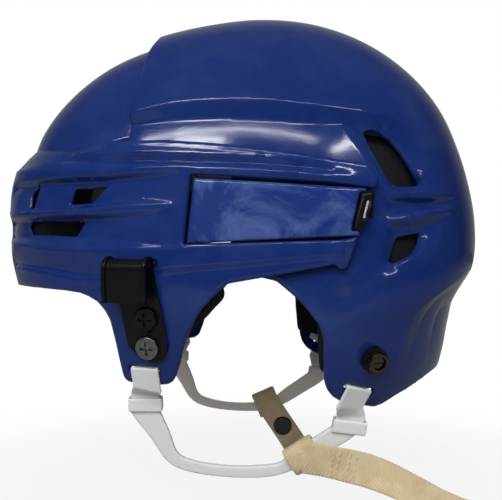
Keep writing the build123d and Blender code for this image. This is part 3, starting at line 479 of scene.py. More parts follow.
# Creases of the front shell: x, z and height over the form, from the top down
frontLines = {
    "domeFoot": [
        (134.5, 103.5, -3.8), (112, 100.5, -3.8), (97, 98.5, -3.4), (88, 100, -3.0), (80, 101, -2.4),
    ],
    "domeSide": [(40, 122, -7.5), (60, 121, -7.0), (76, 117, -6.2), (86, 108, -5.8)],
    "domeUnder": [(40, 112, -9.2), (58, 111, -9.2), (66, 106, -9.2), (74, 102.5, -9.0)],
    "armEdge": [
        (95, 95.5, 0), (84.9, 96.8, 0.8), (74.2, 97.6, 1.6), (66.1, 97.9, 2.1), (54.9, 97.6, 2.2),
        (40.3, 96.6, 2.2), (20.2, 94.6, 2.2), (0.5, 92.4, 2.2), (-14.7, 90.5, 2.2), (-25.8, 88.4, 2),
        (-43.9, 85.3, 2),
    ],
    "armLedge": [
        (91.2, 92.6, 0.6), (82.3, 93.6, 1.5), (73.8, 93.9, 2.2), (65.6, 93.8, 2.7), (54.6, 93.4, 2.8),
        (40.1, 92.9, 2.8), (13.6, 92, 2.8), (-2.7, 91, 2.7), (-15.9, 89.8, 2.3),
    ],
    "armValley": [
        (100.6, 92.2, -0.2), (85.9, 91.9, -0.4), (74.1, 91.6, -0.3), (65.9, 91.3, -0.2), (40.3, 90.3, -0.1),
        (13.7, 89.3, 0.1), (0.5, 88.8, 0.4), (-16.4, 87.1, 1), (-30.5, 84.9, 1.5),
    ],
    "browCrest": [
        (129.6, 91.8, 1.2), (104.9, 91.1, 1.4), (85.8, 90.4, 1.8), (65.6, 88.9, 2.3), (46.8, 88.5, 2.4),
        (25.8, 87.9, 2.4),
    ],
    "browRidge": [
        (144.2, 90.5, 3.6), (114.8, 87.9, 2.7), (90.2, 87, 3.1), (69.8, 86.3, 3.4), (59.2, 86.5, 3.5),
        (46.7, 87, 3.4), (30.5, 87.1, 3.2), (13.6, 86.4, 3.2), (-12.5, 84.8, 3.1), (-32.2, 83.2, 2.9),
        (-38.9, 82.4, 2.7), (-43.2, 81.3, 2.2),
    ],
    "browLower": [
        (144.6, 85.3, 3.3), (120, 82.9, 2.5), (107.1, 83.3, 2.8), (91.9, 83.4, 3.1), (75.6, 83.1, 3.2),
        (65.2, 83.6, 3.1), (52.8, 84.5, 3), (40.6, 85.2, 2.9),
    ],
    "recessTop": [
        (133, 80.6, 0.2), (120.9, 81, -0.8), (108.4, 81.6, -1.6), (93.1, 81.9, -1.9), (79.2, 81.6, -1.9),
        (73.3, 81.4, -1.2), (65.8, 82.1, -0.4), (53.1, 82.7, 0.6), (40.6, 83.1, 1.6),
    ],
    "ventSide": [(124.5, 79.4, -0.9), (125, 74, -0.9), (124.3, 70.3, -0.6)],
    "pillar": [(107.6, 81.1, -0.4), (111.1, 74.8, -0.2), (114.6, 68.8, 0.2)],
    "pillarSide": [(105, 80.3, -1.4), (108.3, 74.3, -1.4), (110.9, 70, -1)],
    "barTop": [
        (125, 68.5, 0), (115.1, 68.6, -0.4), (101.7, 69, -0.8), (90.3, 69.2, -0.8), (80.6, 69.7, -0.7),
        (74.3, 70.8, -0.4), (68.6, 71.7, 0.1), (62, 72.5, 0.8), (51.7, 71.6, 1.3), (42.5, 70.5, 1.9),
    ],
    "barEdge": [
        (135.7, 67.6, 3.4), (113.9, 67.1, 2.8), (100.5, 67.5, 3.1), (83.9, 67.9, 3.3), (68.5, 68.6, 3.2),
        (53.9, 69.2, 2.8), (43, 69.6, 2.3),
    ],
    "barLower": [
        (146.6, 65.6, 3.2), (117.9, 64.7, 2.7), (98.1, 65.2, 3), (84.4, 65.2, 3.1), (73.6, 64.9, 2.8),
        (58.7, 66, 2.4), (46.3, 67.8, 2.1),
    ],
    "lowRecessTop": [
        (136.3, 62.1, 0.2), (119.2, 62.8, -0.8), (99.3, 63.3, -1.7), (85.9, 63.2, -1.7), (77.3, 62.8, -0.9),
        (68.9, 63.3, 0), (58.9, 64.2, 0.9), (46.3, 66.1, 1.7),
    ],
    "lowRecessFoot": [
        (136.2, 54.4, 0.6), (119.3, 54.3, -0.8), (101.3, 53.8, -1.6), (87.7, 53.5, -1.4), (79, 53.2, -0.6),
        (72.7, 53, 0.2), (66, 52.6, 1), (58.4, 51.6, 1.7), (49.1, 50.6, 2.2), (40.1, 50.3, 2.4),
    ],
    "lowCrease": [
        (137.9, 52.5, 2.2), (122.7, 50.5, 2.8), (109.4, 49, 3), (90.6, 48, 3.2), (72.1, 48.1, 3.2),
        (58.3, 48.7, 3.2), (39.3, 49, 3.1), (11.7, 50.3, 2.9), (-5.8, 51.3, 2.8), (-34.9, 52, 2.6),
    ],
    "rimStepTop": [
        (132, 40.2, 0.5), (114.2, 39.3, 0.2), (98.4, 37.1, 0), (87.7, 35.5, 0), (76.2, 36.3, 0.9),
        (64.3, 37.3, 2.5), (52.2, 38.6, 2.8), (30.1, 40.7, 2.9), (7.1, 42.5, 2.9), (-35.5, 46.3, 2.8),
    ],
    "rimStepOut": [
        (131.1, 38.8, 2.2), (113.8, 38.1, 2.3), (98.1, 35.8, 2.4), (87.4, 34.2, 2.4), (76, 34.9, 2.3),
        (72.8, 35.1, 1.2),
    ],
    "armStepLow": [
        (67.4, 35.8, 1.8), (52.3, 37.5, 1.8), (30.2, 39.7, 1.8), (7.1, 41.5, 1.8), (-35.6, 45.3, 1.8),
    ],
    "rimRoll": [
        (127.5, 36.2, 1.7), (110.8, 34.8, 1.8), (95.1, 33.1, 1.9), (84.8, 31.9, 1.7), (76.5, 31.6, 1.2),
    ],
    "armEndTop": [(-36.1, 51.6, 2.3), (-36.7, 46.1, 1), (-36.7, 41.4, 0.2)],
    "armEndFoot": [(-42.3, 52.8, -0.8), (-40.3, 46.5, -1.2), (-38.1, 41.6, -1.2)],
}
# Creases of the rear shell
rearLines = {
    "facetCrease": [
        (-37.5, 110.4, -3.1), (-41.5, 104.9, -3.1), (-46.4, 98, -3.1), (-52.5, 89.7, -3.1),
        (-57, 82.4, -2.9), (-60.7, 76.3, -2.2),
    ],
    "ventFront": [(-47.7, 107.6, -5.4), (-52.8, 98.8, -6.2), (-59.4, 88.2, -6.2), (-64.2, 80.3, -5.8)],
    "ventRear": [(-58.9, 109.2, -4.2), (-65.4, 105.8, -4.8), (-71.4, 98.3, -4.8), (-77.9, 88.6, -4.2)],
    "finTopInner": [(-65.6, 79.2, -5), (-72, 79.4, -4.4), (-77.3, 79.7, -3.4)],
    "finTopRear": [(-80, 82.1, -2.8), (-84.3, 81.2, -0.6), (-89.8, 79.9, 0.3), (-94.5, 77.6, 0.5)],
    "finTopHigh": [
        (-60.9, 75.6, -2), (-65.2, 75.5, -1.2), (-71.4, 75, -0.4), (-77.8, 74.6, 0.2), (-87.1, 74.5, 0.7),
        (-97.1, 74.9, 0.4),
    ],
    "finTopFoot": [
        (-62.1, 72.3, -5), (-72.3, 71.8, -5), (-82.2, 71.8, -3.8), (-90.1, 72.4, -1.6), (-97.2, 73.5, -0.2),
    ],
    "betweenFins": [
        (-62, 67.7, -5.2), (-71.1, 69.2, -5.2), (-81, 70.3, -4.2), (-90, 71.1, -1.6), (-98.4, 71.5, 0),
    ],
    "finLowHigh": [
        (-60.1, 63.3, -2.6), (-66.9, 65, -1.4), (-72.1, 66.2, -0.6), (-78.2, 67.4, 0), (-86.7, 68.1, 0.5),
        (-95.8, 68, 0.3),
    ],
    "finLowEdge": [
        (-60.5, 62.6, -2.4), (-65.7, 62.9, -1), (-71.9, 63.6, -0.1), (-78.7, 64.6, 0.5), (-86.6, 66.1, 0.7),
        (-95.1, 67.3, 0.3),
    ],
    "finLowFoot": [
        (-61.8, 59.3, -5.2), (-68, 59.1, -5.2), (-76.1, 59.7, -4.6), (-83.8, 61.3, -3), (-89.4, 63.4, -1.2),
        (-95.2, 66.1, -0.2),
    ],
    "recessLeft": [(-61.1, 59.2, -3.8), (-58.4, 53, -3.8), (-55.4, 44.5, -3.8), (-52.9, 38.6, -3.4)],
    "recessVentSide": [(-65.5, 54.5, -6.4), (-63.3, 48.7, -6.4), (-61.1, 42.7, -6.2)],
    "recessRim": [
        (-89.3, 60.9, -0.8), (-87.1, 52.9, -0.8), (-84.9, 47.4, -0.8), (-81.5, 43.8, -0.8),
        (-69.9, 39.8, -0.8), (-52.2, 33.1, -2.3), (-40.2, 27.6, -3.2), (-36.5, 25.4, -4),
    ],
    "recessFloor": [
        (-80.5, 57.2, -4.8), (-78.4, 52, -4.8), (-73.6, 48.2, -4.8), (-65.1, 43, -4.6), (-58.2, 40, -4.3),
    ],
    "crownHigh": [
        (66, 115.7, 0), (46.3, 120.1, 0), (30.5, 121.4, 0), (16.8, 121.6, 0), (-1.6, 120.9, 0),
        (-17.1, 119.1, 0), (-34.2, 117.5, 0), (-47.7, 116.1, 0), (-59.1, 114.7, 0), (-66.5, 113.3, 0),
        (-72.1, 109.5, 0), (-77.6, 102.9, 0), (-83.3, 95.8, 0), (-86.9, 90.7, -0.1),
    ],
    "crownLow": [
        (66.7, 112.2, -4.2), (46.4, 113.7, -4.2), (19.7, 113.9, -4.2), (-1.7, 112.9, -4.2),
        (-22.5, 111.4, -4), (-36.8, 110.9, -3.8), (-47.9, 108, -4.8),
    ],
    "napeUpper": [
        (-126, 39.8, 0.3), (-105.2, 36.1, 0.4), (-90.5, 29.1, 0.5), (-79.5, 23.8, 0.6), (-72.2, 16.8, 0.6),
        (-66, 2.2, 0.5), (-62.9, -9.7, 0.4),
    ],
    "napeLower": [
        (-122.7, 34.1, -0.6), (-95.6, 28.1, -0.9), (-85.3, 22.7, -1.1), (-78.8, 15, -1.2),
        (-72.6, 1.4, -0.8), (-69.5, -12.2, -0.4),
    ],
    "napeInner": [
        (-115.1, 18.7, -2.2), (-91.8, 18.2, -2.6), (-87.8, 9.6, -2.4), (-85.6, -3.3, -1.6),
        (-85.1, -15.4, -1),
    ],
}


# heights over the form, mm, inside and outside a loop
frontHeights = {"dome": -5.5, "band": 1.9}
rearHeights = {"panel": -4.0, "crown": 0.0}


def steppedLevel(loop, inner, outer):
    corners = np.array(inMm(loop))
    return lambda x, z: np.where(insideLoop(np.stack([x, z], -1), corners), inner, outer)


print("materials")


def fromHex(text):
    # sRGB hex to linear
    values = [int(text[k:k + 2], 16) / 255 for k in (1, 3, 5)]
    return tuple(v / 12.92 if v <= 0.04045 else ((v + 0.055) / 1.055) ** 2.4 for v in values) + (1,)


def addNode(tree, kind, settings=(), *inputs, **links):
    # one shader node with its settings. inputs go to its sockets in order and links to sockets by name,
    # each as (node, output)
    node = tree.nodes.new("ShaderNode" + kind)
    for key, value in dict(settings).items():
        if isinstance(key, int) or key in node.inputs:
            node.inputs[key].default_value = value
        else:
            setattr(node, key, value)
    sockets = list(enumerate(inputs)) + [(key.replace("_", " "), source) for key, source in links.items()]
    for socket, (source, output) in sockets:
        tree.links.new(source.outputs[output], node.inputs[socket])
    return node


def newMaterial(name):
    # an empty material, its nodes and the place on the object in metres
    material = bpy.data.materials.new(name)
    material.use_nodes = True
    tree = material.node_tree
    tree.nodes.clear()
    return material, tree, (addNode(tree, "TexCoord"), "Object")


# Noise scales count patches in a metre, so that 22 gives clouds of about 45 mm and 350 grains of about 3 mm
def glossyAbs(name, colour, dark, scuffed, scuff):
    # injection moulded ABS: an even deep colour under a glossy skin, with fine scratches and a little haze
    material, tree, place = newMaterial(name)
    cloud = addNode(tree, "TexNoise", {"Scale": 22, "Detail": 3}, Vector=place)
    tint = addNode(tree, "MixRGB", {"Color1": fromHex(colour), "Color2": fromHex(dark)}, (cloud, "Fac"))
    # rubbed patches where the skin has gone dull and paler
    patch = addNode(
        tree, "TexNoise", {"Scale": 26, "Detail": 8, "Roughness": 0.68, "Distortion": 0.8}, Vector=place)
    rubbed = addNode(tree, "MapRange", {"From Min": 0.46, "From Max": 0.72, "To Max": scuff}, (patch, "Fac"))
    worn = addNode(tree, "MixRGB", {"Color2": fromHex(scuffed)}, (rubbed, "Result"), (tint, "Color"))
    haze = addNode(tree, "TexNoise", {"Scale": 60, "Detail": 6, "Roughness": 0.7}, Vector=place)
    spread = addNode(
        tree, "MapRange", {"From Min": 0.3, "From Max": 0.75, "To Min": 0.1, "To Max": 0.17}, (haze, "Fac"))
    # scratches about 0.1 mm wide in real life, drawn wider so that they show
    stretch = addNode(tree, "Mapping", {"Rotation": (0.3, 0.7, 0.2), "Scale": (60, 900, 260)}, place)
    scratch = addNode(tree, "TexNoise", {"Scale": 1, "Detail": 2}, Vector=(stretch, "Vector"))
    lines = addNode(tree, "MapRange", {"From Min": 0.66, "From Max": 0.72}, (scratch, "Fac"))
    orange = addNode(tree, "TexNoise", {"Scale": 350, "Detail": 1}, Vector=place)
    both = addNode(tree, "Math", {"operation": "ADD"}, (lines, "Result"), (orange, "Fac"))
    bump = addNode(tree, "Bump", {"Strength": 0.06, "Distance": 0.0002}, Height=(both, "Value"))
    shader = addNode(tree, "BsdfPrincipled", {
        "Roughness": 0.2, "IOR": 1.47, "Specular IOR Level": 0.42,
        "Coat Weight": 0.08, "Coat Roughness": 0.06,
    }, Base_Color=(worn, "Color"), Roughness=(spread, "Result"), Normal=(bump, "Normal"))
    addNode(tree, "OutputMaterial", {}, (shader, "BSDF"))
    return material


def plainPlastic(name, colour, settings, grain, strength):
    # moulded plastic, rubber or foam with a fine grain
    material, tree, place = newMaterial(name)
    noise = addNode(tree, "TexNoise", {"Scale": grain, "Detail": 3}, Vector=place)
    low = settings["Roughness"] * 0.85
    spread = addNode(tree, "MapRange", {"To Min": low, "To Max": low * 1.4}, (noise, "Fac"))
    bump = addNode(tree, "Bump", {"Strength": strength, "Distance": 0.0002}, Height=(noise, "Fac"))
    shader = addNode(
        tree, "BsdfPrincipled", {"Base Color": fromHex(colour), **settings},
        Roughness=(spread, "Result"), Normal=(bump, "Normal"))
    addNode(tree, "OutputMaterial", {}, (shader, "BSDF"))
    return material


def agedMetal(name, colour, worn, settings):
    # plated metal that is dark in its hollows and bright on its rims
    material, tree, place = newMaterial(name)
    noise = addNode(tree, "TexNoise", {"Scale": 900, "Detail": 4}, Vector=place)
    geometry = addNode(tree, "NewGeometry")
    edge = addNode(tree, "MapRange", {"From Min": 0.5, "From Max": 0.62}, (geometry, "Pointiness"))
    tint = addNode(tree, "MixRGB", {"Color1": fromHex(colour), "Color2": fromHex(worn)}, (edge, "Result"))
    bump = addNode(tree, "Bump", {"Strength": 0.15, "Distance": 0.0001}, Height=(noise, "Fac"))
    shader = addNode(
        tree, "BsdfPrincipled", {"Metallic": 1.0, **settings},
        Base_Color=(tint, "Color"), Normal=(bump, "Normal"))
    addNode(tree, "OutputMaterial", {}, (shader, "BSDF"))
    return material


def screwMetal(name, low, high, border):
    # black oxide screws above the border height, mm, and plain zinc ones with a worn face below it
    material, tree, place = newMaterial(name)
    parts = addNode(tree, "SeparateXYZ", {}, place)
    below = addNode(tree, "Math", {"operation": "LESS_THAN", 1: border * mm}, (parts, "Z"))
    noise = addNode(tree, "TexNoise", {"Scale": 700, "Detail": 5, "Roughness": 0.7}, Vector=place)
    worn, oxide = (
        addNode(tree, "MixRGB", {"Color1": fromHex(dark), "Color2": fromHex(pale)}, (noise, "Fac"))
        for dark, pale in (low, high))
    tint = addNode(tree, "MixRGB", {}, (below, "Value"), (oxide, "Color"), (worn, "Color"))
    bump = addNode(tree, "Bump", {"Strength": 0.3, "Distance": 0.0001}, Height=(noise, "Fac"))
    shader = addNode(
        tree, "BsdfPrincipled", {"Metallic": 1.0, "Roughness": 0.32},
        Base_Color=(tint, "Color"), Normal=(bump, "Normal"))
    addNode(tree, "OutputMaterial", {}, (shader, "BSDF"))
    return material


def webbingMaterial(name, low, high):
    # woven polypropylene: the ribs are in the mesh, this gives the single threads and the soiled patches
    material, tree, place = newMaterial(name)
    noise = addNode(tree, "TexNoise", {"Scale": 130, "Detail": 6, "Roughness": 0.65}, Vector=place)
    tint = addNode(tree, "MixRGB", {"Color1": fromHex(low), "Color2": fromHex(high)}, (noise, "Fac"))
    thread = addNode(tree, "TexNoise", {"Scale": 2600, "Detail": 2}, Vector=place)
    bump = addNode(tree, "Bump", {"Strength": 0.5, "Distance": 0.0002}, Height=(thread, "Fac"))
    shader = addNode(
        tree, "BsdfPrincipled", {"Roughness": 0.78, "IOR": 1.49, "Sheen Weight": 0.25},
        Base_Color=(tint, "Color"), Normal=(bump, "Normal"))
    addNode(tree, "OutputMaterial", {}, (shader, "BSDF"))
    return material


# the lever plates are paler and more rubbed than the shells, where fingers open them
blueAbs = glossyAbs("ABS_royal_blue_moulded", "#152c6a", "#112560", "#33487f", 0.3)
doorAbs = glossyAbs("ABS_royal_blue_lever", "#1d3478", "#182c6a", "#6073a8", 0.8)
# moulded TPU: satin, and light gets a little way into it
whitePlastic = plainPlastic(
    "TPU_white_moulded", "#dcdcda", {"Roughness": 0.38, "IOR": 1.48, "Subsurface Weight": 0.08}, 500, 0.08)
# moulded nylon: a hard satin black; the pale glossy one in the finger slots is painted light, a pale plate
# standing in for the bright slit seen through the slot
blackPlastic = plainPlastic(
    "nylon_black_moulded", "#0d0d10", {"Roughness": 0.32, "IOR": 1.45, "Specular IOR Level": 0.35}, 700, 0.12)
slotLightPaint = plainPlastic("pale_slot_painted_light", "#b9bcc0", {"Roughness": 0.25, "IOR": 1.5}, 600, 0.05)
# dipped vinyl: black with soft highlights
blackRubber = plainPlastic(
    "vinyl_black_dipped", "#0a0b0e", {"Roughness": 0.34, "IOR": 1.45, "Specular IOR Level": 0.35}, 420, 0.2)
# cut EVA foam: dull black, its open cells show as a coarse grain
foam = plainPlastic("EVA_foam_black_cut", "#0f1012", {"Roughness": 0.85, "IOR": 1.45}, 1400, 0.8)
# steel and brass fasteners: plated, dark in the hollows and rubbed bright on the rims
clipScrew = screwMetal("steel_screws_mixed", ("#3c3f43", "#b9bec4"), ("#121214", "#46474a"), 10.5)
blackScrew = agedMetal("steel_black_oxide", "#141414", "#5d564a", {"Roughness": 0.32})
zinc = agedMetal("steel_zinc_plated", "#8b8b8a", "#c9c9c6", {"Roughness": 0.34})
gunmetal = agedMetal("brass_gunmetal_plated", "#4a5053", "#b2bab8", {"Roughness": 0.26})
brass = agedMetal("brass_antique", "#393129", "#9c8a6c", {"Roughness": 0.32})
# woven webbing and its sewing thread: matte, with soiled patches
webbing = webbingMaterial("polypropylene_beige_woven", "#a8926a", "#dccdaa")
thread = webbingMaterial("polyester_beige_thread", "#b7a47e", "#e6dabb")


def dress(piece, material):
    piece.data.materials.clear()
    piece.data.materials.append(material)


def fitted(piece, material, body, node=None):
    # the piece's finish, its colour slot, the body that carries it and the solid that it stands for
    dress(piece, material)
    if node:
        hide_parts(node)
    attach(piece, body)


def softened(piece, voxel, factor, rounds):
    # every edge of a soft moulding or a foam block is round
    remesh = piece.modifiers.new("remesh", "REMESH")
    remesh.mode = "VOXEL"
    remesh.voxel_size = voxel * mm
    remesh.use_smooth_shade = True
    smooth = piece.modifiers.new("smooth", "SMOOTH")
    smooth.factor = factor
    smooth.iterations = rounds


def bevelled(piece, width, segments=2, angle=35):
    edge = piece.modifiers.new("edge", "BEVEL")
    edge.width = width * mm
    edge.segments = segments
    edge.limit_method = "ANGLE"
    edge.angle_limit = math.radians(angle)
    edge.harden_normals = True


print("shells")
shellWall = 3.0
strapSlots = {
    "half": 1.7,
    "front": ((0.244, -0.045), (0.188, -0.046)), "rear": ((-0.144, -0.096), (-0.202, -0.120)),
}
for end, outline, vents, lines, level in (
        ("front", frontOutline, frontVents, frontLines,
         steppedLevel(domeOutline, frontHeights["dome"], frontHeights["band"])),
        ("rear", rearOutline, rearVents, rearLines,
         steppedLevel(panelOutline, rearHeights["panel"], rearHeights["crown"]))):
    holes = [inMm(loop) for loop in vents] + [slotLoop(*strapSlots[end], strapSlots["half"])]
    shell = sheetMesh(end + "_shell_skin", inMm(outline), holes, lines, level, shellWall)
    fitted(shell, blueAbs, end + "_shell_body", end + "_shell")


def flatLevel(height):
    return lambda x, z: np.full_like(x, height)


# height over the form and thickness, mm
plateSheets = {"lever_plate": (1.9, 2.7), "latch_plate": (2.9, 2.6), "latch_inset": (2.1, 1.2)}


def sidePlate(kind, word, side, outline, holes=()):
    level, wall = plateSheets[kind]
    return sheetMesh(word + "_" + kind, outline, list(holes), {}, flatLevel(level), wall, sides=(side,))


for side, word in ((1, "left"), (-1, "right")):
    door = sidePlate("lever_plate", word, side, inMm(doorOutline))
    fitted(door, doorAbs, word + "_lever_body", word + "_length_lever")
    # the latch plate with its finger slot, and a pale plate at the bottom of the slot that paints the bright
    # light seen through it
    slot = inMm(latchSlot)
    plate = sidePlate("latch_plate", word, side, inMm(latchOutline), [slot])
    fitted(plate, blackPlastic, word + "_latch_body", word + "_release_latch")
    inset = sidePlate("latch_inset", word, side, slot)
    fitted(inset, slotLightPaint, word + "_latch_body")

print("hardware")
# material and bevel width, mm
finishes = {
    "latch_rack": (blackPlastic, 0.15), "j_clip": (blackRubber, 0.5),
    "lever_pin": (blackScrew, 0.1), "latch_pin": (blackScrew, 0.1),
}
for ending, (material, width) in finishes.items():
    for word in ("left_", "right_"):
        dress(nodes[word + ending], material)
        bevelled(nodes[word + ending], width)
# the white straps are soft mouldings with round edges and keepers
softEdge = {"voxel": 0.5, "factor": 0.5, "rounds": 9}
for ending in ("ear_loop", "front_hanger", "rear_hanger"):
    for word in ("left_", "right_"):
        dress(nodes[word + ending], whitePlastic)
        softened(nodes[word + ending], **softEdge)
smallParts = {
    "j_clip_screws": (clipScrew, 0.2), "j_clip_inserts": (zinc, 0.15), "snap_spacers": (blackPlastic, 0.4),
    "snap_studs": (brass, 0.3), "snap_screws": (blackScrew, 0.1), "snap_inserts": (zinc, 0.15),
    "chin_strap_button": (gunmetal, 0.2), "chin_strap_washer": (gunmetal, 0.2),
}
for name, (material, width) in smallParts.items():
    dress(nodes[name], material)
    bevelled(nodes[name], width)

print("clip rims")
clipRim = {
    "centre": (62.9, 103.6, 38.8),      # middle of the round in which the cage wire lies
    "along": (-0.9576, 0.2879, 0.0), "up": (0.0135, 0.0449, 0.9989), "out": (0.2876, 0.9566, -0.0469),
    "ends": [(-11.0, -8.9), (8.9, 11.0)],
    # height and reach of the rim's outer and inner line down the leg
    "leg": [(-3, 6.9, 5.0), (-7, 7.3, 5.0), (-11, 7.1, 5.0), (-14.2, 6.5, 4.9)],
    "outer": 6.9, "inner": 5.0,
    "turn": (135, -1, -9),              # degrees from the leg round the wire
    "edge": 0.7,
}
for side, word in ((1, "left"), (-1, "right")):
    flip = np.array([1, side, 1])
    middle, along, up, out = (np.array(clipRim[key]) * flip for key in ("centre", "along", "up", "out"))
    turns = [np.array([math.sin(a), math.cos(a)]) for a in np.radians(np.arange(*clipRim["turn"]))]
    stations = [(clipRim["outer"] * turn, clipRim["inner"] * turn) for turn in turns]
    stations += [(np.array([y, far]), np.array([y, near])) for y, far, near in clipRim["leg"]]
    verts, faces = [], []
    for low, high in clipRim["ends"]:
        first = len(verts)
        for far, near in stations:
            for x, (y, z) in ((low, far), (high, far), (high, near), (low, near)):
                verts.append((middle + along * x + up * y + out * z) * mm)
        for k in range(len(stations) - 1):
            for c in range(4):
                corner = first + 4 * k
                faces.append((corner + c, corner + (c + 1) % 4, corner + 4 + (c + 1) % 4, corner + 4 + c))
        faces += [tuple(range(first, first + 4)), tuple(range(len(verts) - 1, len(verts) - 5, -1))]
    rim = newPiece(word + "_clip_rims", verts, faces)
    fitted(rim, blackRubber, "front_shell_body")
    bevelled(rim, clipRim["edge"], segments=3, angle=50)

print("strap")
strap = {
    "width": 16.0, "thickness": 1.5,
    "rib": 1.7, "ribHeight": 0.17,      # ribs of the weave, in a herringbone from the middle line
    "slant": 0.55,
    "step": 0.42, "across": 30,
    "flare": 0.85, "fullness": 14, "thinEdge": 0.05,    # how points gather at the edges, and their section
    "ribbed": 0.93, "edgeWave": 0.12, "shift": 1.3,
    "bend": 3.5, "tailBend": 5.0,       # mm over which bends are rounded
    "loop": 1.5, "room": 1.2, "half": 0.8,      # half depth of the loop, the gap round it and half the band
    "wrapPoints": 110, "wrapRound": (0.6, 0.75),        # 1 gives an oval turn, less a squarer one
}
# middle line and width directions, mm: round the far loop, down and across, round the near loop, the tail
strapRun = [
    ((-4.5, -73.4, -57.3), (0.92, 0.05, -0.39)), ((-9.5, -72.9, -64.7), (0.83, 0, -0.56)),
    ((-15.1, -72.3, -72.9), (0.83, 0, -0.56)), ((-18.8, -71.9, -78.3), (0.83, 0, -0.56)),
    ((-21.3, -68.4, -81.5), (0.83, 0, -0.56)), ((-22.7, -62.0, -82.6), (0.83, 0, -0.56)),
    ((-23.0, -46.1, -81.3), (0.83, -0.01, -0.56)), ((-23.8, -14.3, -77.4), (0.83, -0.03, -0.55)),
    ((-24.5, 17.6, -72.0), (0.84, -0.05, -0.55)), ((-25.3, 49.4, -65.2), (0.84, -0.07, -0.54)),
    ((-25.7, 65.3, -61.2), (0.84, -0.08, -0.54)), ((-23.0, 72.0, -57.9), (0.84, -0.08, -0.54)),
    ((-19.1, 74.2, -52.2), (0.84, -0.08, -0.54)),
]
strapTail = [
    ((-19.1, 81.1, -53.2), (0, 0.14, 0.99)), ((-31.7, 82.2, -54.8), (0, 0.14, 0.99)),
    ((-50.2, 83.3, -58.6), (0, -0.3, 1)), ((-62.0, 83.8, -63.2), (0, -0.55, 1)),
    ((-74.2, 84.2, -69.2), (0, -0.7, 1)), ((-84.0, 84.6, -74.4), (0, -0.75, 1)),
    ((-93.0, 85.0, -78.6), (0, -0.75, 1)), ((-102.0, 85.4, -81.6), (0, -0.75, 1)),
]
wraps = [
    # middle, along the loop, up, out, width of the loop's run
    ((-4.5, -76.9, -57.8), (0.921, 0.054, -0.387), (0.391, -0.128, 0.912), (0, -0.990, -0.139), 11.0),
    ((-19.1, 77.6, -52.7), (0.839, -0.076, -0.539), (0.545, 0.117, 0.831), (0, -0.990, 0.139), 8.6),
]


def smoothRun(run, step, soft):
    # an evenly spaced line through the points whose bends are rounded over soft mm
    whole = np.array([tuple(point) + tuple(way) for point, way in run], float)
    along = np.concatenate([[0], np.cumsum(np.linalg.norm(np.diff(whole[:, :3], axis=0), axis=1))])
    at = np.linspace(0, along[-1], max(3, round(along[-1] / step)))
    line = np.stack([np.interp(at, along, column) for column in whole.T], -1)
    for _ in range(round(2 * (soft / step) ** 2)):
        line[1:-1] = (line[:-2] + 2 * line[1:-1] + line[2:]) / 4
    return line[:, :3], line[:, 3:]


def ribbonParts(points, ways, closed=False):
    # woven band along a line: rows of points round its section
    onward = np.roll(points, -1, axis=0) - np.roll(points, 1, axis=0)
    if not closed:
        onward[0], onward[-1] = points[1] - points[0], points[-1] - points[-2]
    onward /= np.linalg.norm(onward, axis=1, keepdims=True)
    across = ways - onward * (ways * onward).sum(axis=1, keepdims=True)
    across /= np.linalg.norm(across, axis=1, keepdims=True)
    up = np.cross(across, onward)
    count = strap["across"]
    place = np.cos(np.pi * (np.arange(count) + 0.5) / count)
    place = np.sign(place) * np.abs(place) ** strap["flare"]
    section = np.maximum(1 - np.abs(place) ** strap["fullness"], strap["thinEdge"])
    half = strap["thickness"] / 2 * np.sqrt(section)
    step = np.linalg.norm(np.diff(points, axis=0), axis=1).mean()
    along = np.arange(len(points)) * step
    rows = []
    for face in (1, -1):
        width = place[::face] * strap["width"] / 2
        phase = 2 * np.pi * (along[:, None] + strap["slant"] * np.abs(width)[None]) / strap["rib"]
        ribbed = np.abs(place[::face]) < strap["ribbed"]
        height = half[::face] + strap["ribHeight"] * np.sin(phase + (face < 0) * strap["shift"]) * ribbed
        edge = width[None] + strap["edgeWave"] * np.sin(phase)
        raised = up[:, None] * (face * height)[..., None]
        rows.append(points[:, None] + across[:, None] * edge[..., None] + raised)
    rows = np.concatenate(rows, axis=1)
    size = rows.shape[1]
    index = np.arange(len(points) * size).reshape(len(points), size)
    after = np.roll(index, -1, axis=0) if closed else index[1:]
    before = index if closed else index[:-1]
    corners = [before, np.roll(before, -1, axis=1), np.roll(after, -1, axis=1), after]
    faces = np.stack(corners, -1).reshape(-1, 4).tolist()
    if not closed:
        faces += [index[0][::-1].tolist(), index[-1].tolist()]
    return rows.reshape(-1, 3), faces, across, up


def joined(parts):
    verts, faces, count = [], [], 0
    for points, cells in parts:
        verts.append(points)
        faces += [[k + count for k in cell] for cell in cells]
        count += len(points)
    return np.concatenate(verts) * mm, faces


def tubePart(points, radius, sides=6, thin=0.45):
    # thin round thread through the points, thinner at its ends
    points = np.array(points, float)
    rows = []
    for k, point in enumerate(points):
        way = Vector(points[min(k + 1, len(points) - 1)] - points[max(k - 1, 0)]).normalized()
        one = way.orthogonal().normalized()
        two = way.cross(one)
        size = radius * (thin if k in (0, len(points) - 1) else 1)
        rows += [point + size * (np.array(one) * math.cos(a) + np.array(two) * math.sin(a))
                 for a in np.arange(sides) * 2 * math.pi / sides]
    last = (len(points) - 1) * sides
    faces = [[first + c, first + (c + 1) % sides, first + sides + (c + 1) % sides, first + sides + c]
             for first in range(0, last, sides) for c in range(sides)]
    faces += [list(range(sides))[::-1], list(range(last, last + sides))]
    return np.array(rows), faces


